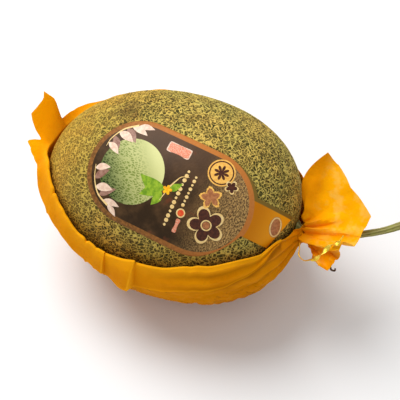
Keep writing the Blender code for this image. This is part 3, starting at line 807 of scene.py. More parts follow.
def raised_grid(columns, heights):
    """The sheet's grid, with each place moved outward, square to the sheet, by its height."""
    grid = np.array([[tuple(point) for point in column] for column in columns])
    facing = np.cross(np.gradient(grid, axis=0), np.gradient(grid, axis=1))
    facing /= np.linalg.norm(facing, axis=2, keepdims=True) + 1e-12
    under = len(columns) // 2, SHEET_ROWS // 2
    if np.dot(facing[under], grid[under] - np.array(MIDDLE)) < 0:
        facing = -facing
    return grid + facing * np.array(heights)[:, :, None]


def line_marks(track, column, top, hem):
    """Painted light for the colours: (highlight along a fold or edge, shadow under the hem, shade in the
    trough of a gather).
    """
    length, fold, _ = along(HEM, track)
    reach = length + FOLD_RADIUS * 2    # down to the hem's cut edge
    hangs = smooth_step((fold - 130.0) / 35.0)
    shadow = 0.0030 + 0.0020 * smooth_step((-track - 0.66) / 0.15)
    marks = []
    down = 0.0
    for j in reversed(range(SHEET_ROWS)):
        pull, wave = cup_gathers(track, top * j / (SHEET_ROWS - 1))
        # painted highlight along the fold at the rim
        fold_highlight = math.exp(-(down / 0.0010) ** 2) if hem else 0.0
        shade = hangs * math.exp(-((down - reach) / shadow) ** 2) if hem and down > reach * 0.6 else 0.0
        marks.append((fold_highlight, shade, pull * (1 - wave) ** 3))
        down += (column[j] - column[j - 1]).length if j else 0.0
    marks.reverse()
    # painted highlights along the panels' free edges
    free_edge_highlights = [math.exp(-((track - edge) / 0.0022) ** 2) for edge, *_ in PANELS if track >= edge - 0.0002]
    for k in range(len(hem)):
        pull, wave = hem_gathers(track, max(0, k - FOLD_STEPS + 1) / HEM_STEPS)
        cut_edge_highlight = 0.5 if k == len(hem) - 1 else 0.0
        fold_or_edge_highlight = max([math.exp(-(k / 5.5) ** 2), cut_edge_highlight] + free_edge_highlights)
        marks.append((fold_or_edge_highlight, 0.0, pull * (1 - wave) ** 3))
    return marks


def build_wrap(wrap):
    """The sheet: a cup under the melon, a turned-out hem and a tied, flared end."""
    lines, owners = [], []
    for i in range(NEAR_STEPS, 0, -1):
        lines.append(flare_line(-1, i / NEAR_STEPS, wrap.gathers))
        owners.append(None)
    for track in sheet_tracks():
        rim_angle, rim_gap = along(RIM, track)
        rim_angle += PANEL_TURN * panel_rise(track) + 0.5 * ripple(track * 22, 0.0, 51.0)
        top = math.radians(rim_angle - CREASE_DIP * crease_rise(track))
        lines.append(cup_line(track, top, rim_gap, wrap.gathers))
        owners.append((track, top))
    for i in range(1, FAR_STEPS + 1):
        lines.append(flare_line(1, i / FAR_STEPS, wrap.gathers))
        owners.append(None)
    grid = raised_grid(*zip(*lines))
    grid[:, :, 2] = np.maximum(grid[:, :, 2], wrap.thickness / 2)
    verts, starts, marks = [], [], []
    for places, owner in zip(grid, owners):
        column = [Vector(place) for place in places]
        starts.append(len(verts))
        verts += column
        if owner is None:
            marks += [(0.0, 0.0, 0.0)] * SHEET_ROWS
            continue
        track, top = owner
        hem = hem_line(track, column) if HEM[0][0] <= track <= HEM[-1][0] else []
        verts += hem
        marks += line_marks(track, column, top, hem)
    faces = []
    for start, after, end in zip(starts, starts[1:], starts[2:] + [len(verts)]):
        for j in range(min(after - start, end - after) - 1):
            faces.append((start + j, after + j, after + j + 1, start + j + 1))
    piece = new_piece("wrapping_sheet", verts, faces, [wrap_material(wrap)], ["wrapper_sheet"])
    note_places(piece, "sheet_place", verts)
    # painted light and shade for the sheet's colours: fold highlights, the shadow under the hem, trough shade
    note_places(piece, "sheet_painted_light", np.array(marks) / MILLIMETRES)
    thicken(piece, wrap.thickness)
    piece.data.set_sharp_from_angle(angle=SHARP_FOLD)


# ================================================================ the stem
STEM_SIDES = 36
STEM_STEPS = 110
STEM_RIBS = 7
RIB_TWIST = 5.0                         # radians that the ribs turn along the stem
RIB_HEIGHT = 0.0003
SLENDER_AT = 0.0065                     # from the fruit
# The foot on the fruit: (distance from the fruit, radius)
STEM_FOOT = [(0.0, 0.0074), (0.0005, 0.0073), (0.0012, 0.0066), (0.0022, 0.0054), (0.0038, 0.0042)]
TENDRIL_STEPS = 60
TENDRIL_SIDES = 12
TENDRIL_RADIUS = 0.00105
# Places from the middle of the neck
STEM_ROUTE = [(0.0070, 0.0, 0.0), (0.0250, 0.0040, 0.0035), (0.0435, 0.0105, 0.0085),
              (0.0555, 0.0160, 0.0120), (0.0690, 0.0240, 0.0175), (0.0775, 0.0300, 0.0225)]
TENDRIL_ROUTE = [(0.0120, -0.0010, -0.0050), (0.0155, -0.0065, -0.0075), (0.0210, -0.0130, -0.0085),
                 (0.0240, -0.0165, -0.0090), (0.0255, -0.0185, -0.0095), (0.0280, -0.0180, -0.0100),
                 (0.0280, -0.0170, -0.0085)]


def stem_material():
    """Olive stem with pale ribs, dark furrows and a few greener blotches."""
    mat, shader, recipe = shaded("olive_stem", 0.66, Specular_IOR_Level=0.3)
    place = kept_place(recipe, "stem_place")
    stretched = recipe.vector("MULTIPLY", place, (0.12, 1.0, 1.0))
    streak = recipe.cloud(stretched, 1.9, 4.0, 0.6)
    colour = recipe.blend(recipe.spread(streak, 0.35, 0.62), (0.10, 0.085, 0.020), (0.30, 0.27, 0.070))
    blotch = recipe.spread(recipe.cloud(place, 0.20, 3.0), 0.45, 0.65)
    colour = recipe.blend(blotch, colour, (0.24, 0.24, 0.045))
    rib = recipe.split(kept_place(recipe, "stem_rib"))[0]
    colour = recipe.blend(recipe.spread(rib, -0.4, 0.9, 0.0, 0.75), colour, (0.40, 0.37, 0.13))
    recipe.put(shader.inputs["Base Color"], colour)
    raised(recipe, shader, streak, 0.5, 0.0004)
    return mat


def build_stem():
    """The cut stem with its foot on the fruit."""
    foot_x = STEM_END + 0.0003
    lead = [Vector((foot_x + away, 0, MIDDLE.z)) for away in [at for at, _ in STEM_FOOT] + [SLENDER_AT]]
    path = lead + curve_through([NECK + Vector(p) for p in STEM_ROUTE], STEM_STEPS)
    last = len(path) - 1
    turns = [2 * math.pi * j / STEM_SIDES for j in range(STEM_SIDES)]

    def section(share):
        """The stem's ribbed outline: wide at its foot, then slender, and thicker towards the cut."""
        i = round(share * last)
        slender = STEM_RADIUS * (0.78 + 0.22 * smooth_step((share - 0.55) / 0.35))
        if i < len(STEM_FOOT):
            base = STEM_FOOT[i][1]
        else:
            base = slender * (1 + 0.05 * ripple(i * 0.12, 0.0, 61.0))
        if i > last - 3:    # the cut's edge is a little rounded
            base *= 1 - 0.05 * (i - last + 3)
        ring = []
        for turn in turns:
            wave = math.cos(STEM_RIBS * turn + share * RIB_TWIST)
            r = base + RIB_HEIGHT * (abs(wave) ** 0.7 * math.copysign(1, wave))
            r += 0.00012 * ripple(turn * 3, i * 0.4, 63.0)
            ring.append((r * math.cos(turn), r * math.sin(turn)))
        return ring

    verts, faces = sweep(path, section)
    places, ribs = [], []
    for i in range(len(path)):
        for turn in turns:
            places.append((i * 0.0008, 0.003 * math.cos(turn), 0.003 * math.sin(turn)))
            rib = math.cos(STEM_RIBS * turn + i / last * RIB_TWIST)
            ribs.append((rib / MILLIMETRES, 0.0, 0.0))
    stem = new_piece("cut_stem", verts, faces, [stem_material()], ["stem"])
    note_places(stem, "stem_place", places)
    note_places(stem, "stem_rib", ribs)


def tendril_material():
    """Dark dry brown, streaked."""
    mat, shader, recipe = shaded("dried_brown", 0.8)
    place = kept_place(recipe, "tendril_place")
    streak = recipe.cloud(place, 1.4, 4.0, 0.7)
    colour = recipe.blend(recipe.spread(streak, 0.35, 0.7), (0.035, 0.016, 0.008), (0.16, 0.085, 0.040))
    recipe.put(shader.inputs["Base Color"], colour)
    raised(recipe, shader, streak, 0.6, 0.0003)
    return mat


def build_tendril():
    """The dried tendril by the tie."""
    path = curve_through([NECK + Vector(p) for p in TENDRIL_ROUTE], TENDRIL_STEPS)
    turns = [2 * math.pi * j / TENDRIL_SIDES for j in range(TENDRIL_SIDES)]

    def section(share):
        """An uneven oval that shrinks towards the tip."""
        r = TENDRIL_RADIUS * (1 - 0.40 * share) * (1 + 0.18 * ripple(share * 14, 0.0, 67.0))
        return [(r * (1 + 0.2 * math.cos(2 * turn)) * math.cos(turn), r * math.sin(turn)) for turn in turns]

    verts, faces = sweep(path, section)
    tendril = new_piece("dry_tendril", verts, faces, [tendril_material()], ["dried_tendril"])
    note_places(tendril, "tendril_place", verts)


# ================================================================ the tie
TIE_GAP = 0.0007                        # from the middle of the gathered sheet to the foil's middle
TIE_START = math.radians(40.0)          # from straight down
TIE_ROUND = math.radians(320.0)
TIE_TWIST = math.radians(1100.0)
TIE_RING_STEPS = 72
TIE_TAIL_STEPS = 130
TIE_SIDES = 16
# Places from the middle of the neck
TIE_TAIL = [(-0.0020, -0.0110, 0.0020), (-0.0005, -0.0175, 0.0020), (0.0010, -0.0225, 0.0005),
            (0.0060, -0.0260, 0.0015), (0.0110, -0.0265, 0.0060), (0.0150, -0.0265, 0.0100),
            (0.0185, -0.0230, 0.0145), (0.0220, -0.0180, 0.0180), (0.0265, -0.0155, 0.0200),
            (0.0285, -0.0110, 0.0240)]
# (share along the whole tie, (half width, half thickness)): its wire shows bare round the loop
TIE_WIDTHS = [(0.00, (0.0006, 0.0004)), (0.40, (0.0006, 0.0004)), (0.48, (0.0004, 0.0004)),
              (0.66, (0.0004, 0.0004)), (0.69, (0.0018, 0.00032)), (0.93, (0.0019, 0.00032)),
              (0.96, (0.0005, 0.0004)), (1.00, (0.0003, 0.0003))]


def foil_material():
    """Crinkled gold foil."""
    mat, shader, recipe = shaded("gold_foil", 0.30, metallic=0.85)
    place = kept_place(recipe, "tie_place")
    crinkle = recipe.cloud(place, 1.1, 4.0, 0.6)
    colour = recipe.blend(recipe.spread(crinkle, 0.35, 0.68), (0.86, 0.50, 0.02), (1.0, 0.80, 0.12))
    recipe.put(shader.inputs["Base Color"], colour)
    raised(recipe, shader, crinkle, 0.6, 0.0005)
    return mat


def build_tie():
    """A foil strip round the neck, pinched to its wire, then twisted into a tail."""
    radius = NECK_RADIUS + TIE_GAP
    ring = []
    for i in range(TIE_RING_STEPS + 1):
        turn = TIE_START - TIE_ROUND * i / TIE_RING_STEPS
        ring.append(NECK + Vector((0, -radius * math.sin(turn), -radius * math.cos(turn))))
    tail = curve_through([ring[-1]] + [NECK + Vector(p) for p in TIE_TAIL], TIE_TAIL_STEPS)
    path = ring + tail[1:]

    def section(share):
        """The strip's outline, thicker along its wire, and twisted in the tail."""
        half_width, half_thick = along(TIE_WIDTHS, share)
        into_tail = max(0.0, (share * (len(path) - 1) - TIE_RING_STEPS) / TIE_TAIL_STEPS)
        angle = TIE_TWIST * into_tail
        outline = []
        for j in range(TIE_SIDES):
            turn = 2 * math.pi * j / TIE_SIDES
            w = half_width * math.copysign(abs(math.cos(turn)) ** 0.5, math.cos(turn))
            t = half_thick * math.copysign(abs(math.sin(turn)) ** 0.8, math.sin(turn))
            if abs(w) < half_width * 0.45:
                t *= 1.5
            outline.append((w * math.cos(angle) - t * math.sin(angle),
                            w * math.sin(angle) + t * math.cos(angle)))
        return outline

    verts, faces = sweep(path, section, first_side=(1.0, 0.0, 0.0))
    tie = new_piece("foil_tie", verts, faces, [foil_material()], ["twist_tie"])
    note_places(tie, "tie_place", verts)


# ================================================================ the sticker
# Flat places on the sticker are (p, q): p runs lengthwise towards the stem end,
# and q runs across it, up and away from the side that it leans to.
FACES_AT = Vector((0.126, -0.586, 0.801)).normalized()
STICKER_TURN = math.radians(-8.2)       # about the way that it faces
STICKER_SHIFT = 0.0015                  # of its middle towards the stem end
TAIL_REACH = STEM_END - 0.012           # of the tail's end
TAIL_WIDTH = 0.029
TAIL_SIDE_SHIFT = 0.006                 # of the tail's middle across the sticker
TAIL_SLANT = 0.25                       # of the tail's end
PAPER_ROWS = 64
PAPER_SLICES = 190
PAPER_BEND = STEM_END + 0.0004          # the slices get closer together near this distance
HALVINGS = 36                           # of the gap in which the skin is looked for
PAPER_THICKNESS = 0.0003
PAPER_LIFT = 0.00036                    # from the skin to the middle of the paper
PRINT_LAYER = 0.00002                   # between printed layers that overlap
PRINT_STEP = 1.6                        # between the places inside a printed shape, in millimetres
PRINT_SHEEN = {"Specular_IOR_Level": 0.14, "Coat_Weight": 0.05, "Coat_Roughness": 0.20}
# Sprigs: (places along the stalk, leaves as (p, q, length, width, heading in degrees))
SPRIGS = [
    ([(-38.0, 31.0), (-46.5, 24.5), (-52.0, 15.0), (-53.0, 8.0)],
     [(-38, 30, 13, 4.4, 12), (-42, 28.5, 14, 5.0, -8), (-45, 26, 14, 5.4, -34),
      (-49, 21, 14, 6.0, -12), (-51, 17, 13, 5.6, -52), (-52.6, 11, 12.5, 5.0, -24)]),
    ([(-33.0, -30.0), (-43.0, -25.5), (-50.0, -17.0), (-54.0, -7.0)],
     [(-33, -30, 10, 4.0, -30), (-38, -28.4, 14, 4.8, 4), (-42, -26, 14, 5.4, 40),
      (-47, -21.5, 14, 6.0, 12), (-50.2, -16.5, 13, 5.6, 50), (-53, -9.5, 12, 5.0, 24)]),
]
# Rows of beads: (p, first q, step, count, a small bead every so many, large radius, small radius)
BEAD_ROWS = [(10.8, 16.0, 3.35, 13, 3, 1.45, 0.95), (17.2, 14.5, 3.0, 8, 2, 1.25, 0.85)]


def sticker_axes():
    """The sticker's two axes, square to the way that it faces."""
    level = Vector((1.0, 0.0, 0.0))
    level = (level - FACES_AT * level.dot(FACES_AT)).normalized()
    lengthwise = level * math.cos(STICKER_TURN) + FACES_AT.cross(level) * math.sin(STICKER_TURN)
    return lengthwise, FACES_AT.cross(lengthwise)


def height_over_skin(points):
    """About how far points near the melon are from its skin, square to the skin."""
    x = np.abs(points[:, 0])
    length = np.where(points[:, 0] < 0, BLOSSOM_END, STEM_END)
    full = np.where(points[:, 0] < 0, 2.0, STEM_END_FULLNESS)
    out = np.hypot(points[:, 1], points[:, 2])
    size = ((x / length) ** full + (out / MELON_RADIUS) ** full) ** (1 / full)
    rise_along = (x / (length * size)) ** (full - 1) / length
    rise_out = (out / (MELON_RADIUS * size)) ** (full - 1) / MELON_RADIUS
    return (size - 1) / np.hypot(rise_along, rise_out)


def lay_on_skin(flat, lift):
    """Drop flat sticker places (lengthwise, across) onto the melon, lifted off its skin."""
    lengthwise, across = sticker_axes()
    flat = np.asarray(flat, dtype=float)
    start = flat[:, :1] * np.array(lengthwise) + flat[:, 1:2] * np.array(across)
    low = np.zeros(len(flat))
    high = np.full(len(flat), MELON_RADIUS + BLOSSOM_END)
    face = np.array(FACES_AT)
    for _ in range(HALVINGS):
        mid = (low + high) / 2
        above = height_over_skin(start + face * mid[:, None]) > lift
        high = np.where(above, mid, high)
        low = np.where(above, low, mid)
    return start + face * high[:, None] + np.array(MIDDLE)


def sticker_material(sticker):
    """Satin print: a copper rim round a dark field, and a golden tail, with painted reflection and painted
    shade on the field and rim.
    """
    mat, shader, recipe = shaded("printed_sticker", 0.45, Specular_IOR_Level=0.08, Coat_Weight=0.03,
                                 Coat_Roughness=0.20)
    place = kept_place(recipe, "sticker_place")
    p, q, _ = recipe.split(place)
    half_width = sticker.width / 2 * MILLIMETRES
    straight = sticker.length / 2 * MILLIMETRES - half_width
    from_middle = recipe.math("SUBTRACT", p, STICKER_SHIFT * MILLIMETRES)
    past_straight = recipe.math("SUBTRACT", recipe.math("ABSOLUTE", from_middle), straight)
    past = recipe.math("MAXIMUM", past_straight, 0.0)
    squares = recipe.math("ADD", recipe.math("MULTIPLY", past, past), recipe.math("MULTIPLY", q, q))
    inside = recipe.math("SUBTRACT", half_width, recipe.math("SQRT", squares))
    smoke = recipe.cloud(place, 0.055, 4.0, 0.6)
    field = recipe.blend(recipe.spread(smoke, 0.38, 0.68), tuple(sticker.field_colour), (0.092, 0.048, 0.020))
    # painted reflection: the field is lighter towards its upper edge
    field = recipe.blend(recipe.spread(q, -8.0, 36.0, 0.0, 0.60), field, (0.125, 0.068, 0.038))
    fine = recipe.cloud(recipe.vector("MULTIPLY", place, (1.0, 0.55, 1.0)), 1.1, 5.0, 0.80)
    glow = recipe.math("MULTIPLY", recipe.spread(p, 16.0, 56.0), recipe.spread(fine, 0.42, 0.60))
    field = recipe.blend(glow, field, (0.60, 0.36, 0.12))
    patches = recipe.cloud(recipe.vector("ADD", place, (9.0, 5.0, 0.0)), 0.09, 2.0)
    field = recipe.blend(recipe.spread(patches, 0.62, 0.74, 0.0, 0.6), field, (0.16, 0.045, 0.018))
    # painted light: the copper rim darkens towards the blossom end and lower side, brightest at its upper
    # stem-end side
    side = recipe.spread(recipe.math("ADD", p, q), -60.0, 50.0)
    rim = recipe.blend(side, (0.150, 0.066, 0.018), tuple(sticker.rim_colour))
    brushed = recipe.cloud(recipe.vector("MULTIPLY", place, (0.4, 0.4, 1.0)), 1.2, 3.0)
    rim = recipe.blend(recipe.spread(brushed, 0.35, 0.7, 0.0, 0.35), rim, (0.56, 0.22, 0.05))
    rim_width = sticker.rim * MILLIMETRES
    rim_share = recipe.spread(inside, rim_width + 0.15, rim_width - 0.15, smooth=False)
    oval = recipe.blend(rim_share, field, rim)
    tail = recipe.blend(recipe.spread(p, 62.0, 86.0), (0.56, 0.180, 0.002), (0.88, 0.35, 0.006))
    border = recipe.spread(q, 17.4, 18.0, smooth=False)
    tail = recipe.blend(border, tail, (0.20, 0.125, 0.022))
    colour = recipe.blend(recipe.spread(inside, -0.1, 0.1, smooth=False), tail, oval)
    recipe.put(shader.inputs["Base Color"], colour)
    net = recipe.cells(kept_place(recipe, "skin_place"), 1.0 / 2.75)
    raised(recipe, shader, recipe.spread(net, 0.05, 0.4, 1.0, 0.0), 0.12, 0.0004)
    return mat


def build_sticker_paper(sticker):
    """The oval sheet with its tail, following the fruit."""
    half = sticker.width / 2
    left, right = STICKER_SHIFT - sticker.length / 2, STICKER_SHIFT + sticker.length / 2
    start, stop = math.asin(left / PAPER_BEND), math.asin(TAIL_REACH / PAPER_BEND)
    flat = []
    for i in range(PAPER_SLICES + 1):
        p = PAPER_BEND * math.sin(start + (stop - start) * i / PAPER_SLICES)
        inner = min(p - left, right - p, half)
        cap = math.sqrt(max(0.0, half * half - (half - inner) ** 2)) if inner > 0 else 0.0
        top, bottom = cap, -cap
        if p > 0:
            top = max(top, TAIL_SIDE_SHIFT + TAIL_WIDTH / 2)
            bottom = min(bottom, TAIL_SIDE_SHIFT - TAIL_WIDTH / 2)
        for j in range(PAPER_ROWS + 1):
            q = bottom + (top - bottom) * j / PAPER_ROWS
            slant = TAIL_SLANT * q * smooth_step((p - right + half) / (TAIL_REACH - right + half))
            flat.append((p + slant, q))
    verts = lay_on_skin(flat, PAPER_LIFT)
    faces = []
    for i in range(PAPER_SLICES):
        for j in range(PAPER_ROWS):
            a = i * (PAPER_ROWS + 1) + j
            b = a + PAPER_ROWS + 1
            faces.append((a, b, b + 1, a + 1))
    paper = new_piece("sticker_paper", verts, faces, [sticker_material(sticker)], ["label_sticker"])
    note_places(paper, "sticker_place", [(p, q, 0.0) for p, q in flat])
    note_places(paper, "skin_place", verts)
    thicken(paper, PAPER_THICKNESS)


# Printed shapes are closed loops of flat places, in millimetres.

def moved_loop(loop, p, q, turn):
    """A loop turned about its origin, then moved to a place."""
    c, s = math.cos(math.radians(turn)), math.sin(math.radians(turn))
    return [(p + x * c - y * s, q + x * s + y * c) for x, y in loop]


def oval_loop(p, q, along_p, along_q, turn=0.0, count=48):
    """An oval."""
    turns = [2 * math.pi * i / count for i in range(count)]
    return moved_loop([(along_p * math.cos(a), along_q * math.sin(a)) for a in turns], p, q, turn)


def spoked_loop(p, q, radii, turn):
    """A loop with its radii given at even turns."""
    turns = [2 * math.pi * i / len(radii) for i in range(len(radii))]
    return moved_loop([(r * math.cos(a), r * math.sin(a)) for r, a in zip(radii, turns)], p, q, turn)


def petal_loop(p, q, inner, outer, petals, turn=0.0, count=96):
    """A blossom with round petals."""
    waves = [abs(math.cos(math.pi * i / count * petals)) ** 0.8 for i in range(count)]
    return spoked_loop(p, q, [inner + (outer - inner) * wave for wave in waves], turn)


def lobed_loop(p, q, size, turn, count=120):
    """A five-lobed vine leaf."""
    radii = []
    for i in range(count):
        a = 2 * math.pi * i / count
        tip = abs((5 * i / count) % 1.0 - 0.5) * 2
        lobes = 0.55 + 0.45 * tip ** 0.8 + 0.03 * math.sin(25 * a)
        notch = 1 - 0.55 * math.exp(-((a - math.pi) / 0.20) ** 2)
        radii.append(size * lobes * notch)
    return spoked_loop(p, q, radii, turn)


def leaf_loop(p, q, length, width, turn, bend=0.0, count=20):
    """A pointed leaf that starts at a place and grows along a heading."""
    spine = [(length * i / count, bend * math.sin(math.pi * i / count)) for i in range(count + 1)]
    half = [width / 2 * math.sin(math.pi * (i / count) ** 0.8) for i in range(count + 1)]
    upper = [(x, y + h) for (x, y), h in zip(spine, half)]
    lower = [(x, y - h) for (x, y), h in zip(spine, half)][-2:0:-1]
    return moved_loop(upper + lower, p, q, turn)


def bar_loop(p, q, long, wide, corner=0.8):
    """A bar with rounded corners."""
    loop = []
    for side_p, side_q, first in ((1, 1, 0), (-1, 1, 90), (-1, -1, 180), (1, -1, 270)):
        for k in range(5):
            a = math.radians(first + 22.5 * k)
            loop.append((side_p * (long / 2 - corner) + corner * math.cos(a),
                         side_q * (wide / 2 - corner) + corner * math.sin(a)))
    return moved_loop(loop, p, q, 0.0)


def stroke_loop(points, width, count=26):
    """A narrow band along a curve, pointed at its far end."""
    run = curve_through([(p, q, 0.0) for p, q in points], count)
    left, right = [], []
    for i, point in enumerate(run):
        ahead = (run[min(i + 1, count)] - run[max(i - 1, 0)]).normalized()
        side = Vector((-ahead.y, ahead.x, 0)) * width / 2 * (1 - 0.75 * i / count)
        left.append((point.x + side.x, point.y + side.y))
        right.append((point.x - side.x, point.y - side.y))
    return left + right[::-1]


def grown(loop, by):
    """A loop grown outward from its middle by about a distance."""
    mp = sum(p for p, _ in loop) / len(loop)
    mq = sum(q for _, q in loop) / len(loop)
    size = sum(math.hypot(p - mp, q - mq) for p, q in loop) / len(loop)
    k = 1 + by / size
    return [(mp + (p - mp) * k, mq + (q - mq) * k) for p, q in loop]


def inside_loop(p, q, loop):
    """Whether a flat place lies within a loop."""
    within = False
    for (ax, ay), (bx, by) in zip(loop, loop[1:] + loop[:1]):
        if (ay > q) != (by > q) and p < (bx - ax) * (q - ay) / (by - ay) + ax:
            within = not within
    return within


def odd_inside(p, q, loops):
    """Whether a flat place is printed: within one loop, but not within a hole in it."""
    return sum(inside_loop(p, q, loop) for loop in loops) % 2 == 1


def print_shapes(name, shapes, layer, mat):
    """Thin printed shapes on the sticker. A shape is a list of loops, and a loop in a loop is a hole."""
    flat, faces = [], []
    for loops in shapes:
        points, edges = [], []
        for loop in loops:
            first = len(points)
            points += [Vector(place) for place in loop]
            edges += [(first + i, first + (i + 1) % len(loop)) for i in range(len(loop))]
        low_p, low_q = (min(point[k] for point in points) for k in (0, 1))
        high_p, high_q = (max(point[k] for point in points) for k in (0, 1))
        p = low_p + PRINT_STEP / 2
        while p < high_p:
            q = low_q + PRINT_STEP / 2
            while q < high_q:
                if odd_inside(p, q, loops):
                    points.append(Vector((p, q)))
                q += PRINT_STEP
            p += PRINT_STEP
        spots, _, triangles, *_ = delaunay_2d_cdt(points, edges, [], 0, 1e-5)
        first = len(flat)
        flat += [(spot.x / MILLIMETRES, spot.y / MILLIMETRES) for spot in spots]
        for triangle in triangles:
            middle = sum((spots[v] for v in triangle), Vector((0.0, 0.0))) / 3
            if odd_inside(middle.x, middle.y, loops):
                faces.append(tuple(first + v for v in triangle))
    lift = PAPER_LIFT + PAPER_THICKNESS / 2 + PRINT_LAYER * (layer + 0.5)
    piece = new_piece(name, lay_on_skin(flat, lift), faces, [mat])
    note_places(piece, "sticker_place", [(p, q, 0.0) for p, q in flat])


def print_ink(name, light, dark, scale=0.5):
    """An ink with uneven cover."""
    mat, shader, recipe = shaded(name, 0.34, **PRINT_SHEEN)
    place = kept_place(recipe, "sticker_place")
    cover = recipe.spread(recipe.cloud(place, scale, 4.0, 0.6), 0.35, 0.65)
    recipe.put(shader.inputs["Base Color"], recipe.blend(cover, light, dark))
    raised(recipe, shader, cover, 0.05, 0.0001)
    return mat


def picture_ink():
    """The picture of a pale netted melon, darker and more netted to the lower left."""
    mat, shader, recipe = shaded("picture_of_a_melon", 0.45, **PRINT_SHEEN)
    place = kept_place(recipe, "sticker_place")
    p, q, _ = recipe.split(place)
    across = recipe.math("ADD", recipe.math("MULTIPLY", p, 0.75), recipe.math("MULTIPLY", q, 0.65))
    ground = recipe.blend(recipe.spread(across, -42.0, -20.0), (0.012, 0.024, 0.005), (0.20, 0.25, 0.050))
    ground = recipe.blend(recipe.spread(across, -20.0, 2.0), ground, (0.66, 0.66, 0.28))
    edge = recipe.cells(recipe.vector("MULTIPLY", place, (0.55, 1.15, 1.0)), 0.62)
    strength = recipe.spread(across, 0.0, -14.0, 0.10, 0.80)
    lines = recipe.math("MULTIPLY", recipe.spread(edge, 0.20, 0.08), strength)
    netted = recipe.blend(recipe.spread(across, -46.0, -14.0), (0.10, 0.15, 0.035), (0.56, 0.56, 0.22))
    recipe.put(shader.inputs["Base Color"], recipe.blend(lines, ground, netted))
    return mat


def print_sprigs(cream):
    """Two pale sprigs that curve round the picture, some of their leaves in shade."""
    blush = print_ink("blush_ink", (0.86, 0.66, 0.50), (0.70, 0.46, 0.34), scale=0.35)
    dusk = print_ink("dusk_ink", (0.36, 0.20, 0.145), (0.23, 0.105, 0.070), scale=0.35)
    pale, shaded_leaves, stalks = [], [], []
    for stalk, leaves in SPRIGS:
        stalks.append([stroke_loop(stalk, 1.4)])
        for k, (p, q, length, width, turn) in enumerate(leaves):
            group = shaded_leaves if k in (2, 4) else pale
            group.append([leaf_loop(p, q, length, width, turn, bend=0.8)])
    print_shapes("print_sprigs", pale, 4, blush)
    print_shapes("print_dark_leaves", shaded_leaves, 3, dusk)
    print_shapes("print_sprig_stalks", stalks, 5, cream)
    return blush


def print_beads(cream):
    """Two rows of beads, of two sizes each."""
    beads = []
    for p, first_q, step, count, every, large, small in BEAD_ROWS:
        for k in range(count):
            size = large if k % every else small
            beads.append([oval_loop(p, first_q - step * k, size, size, count=20)])
    print_shapes("print_beads", beads, 2, cream)


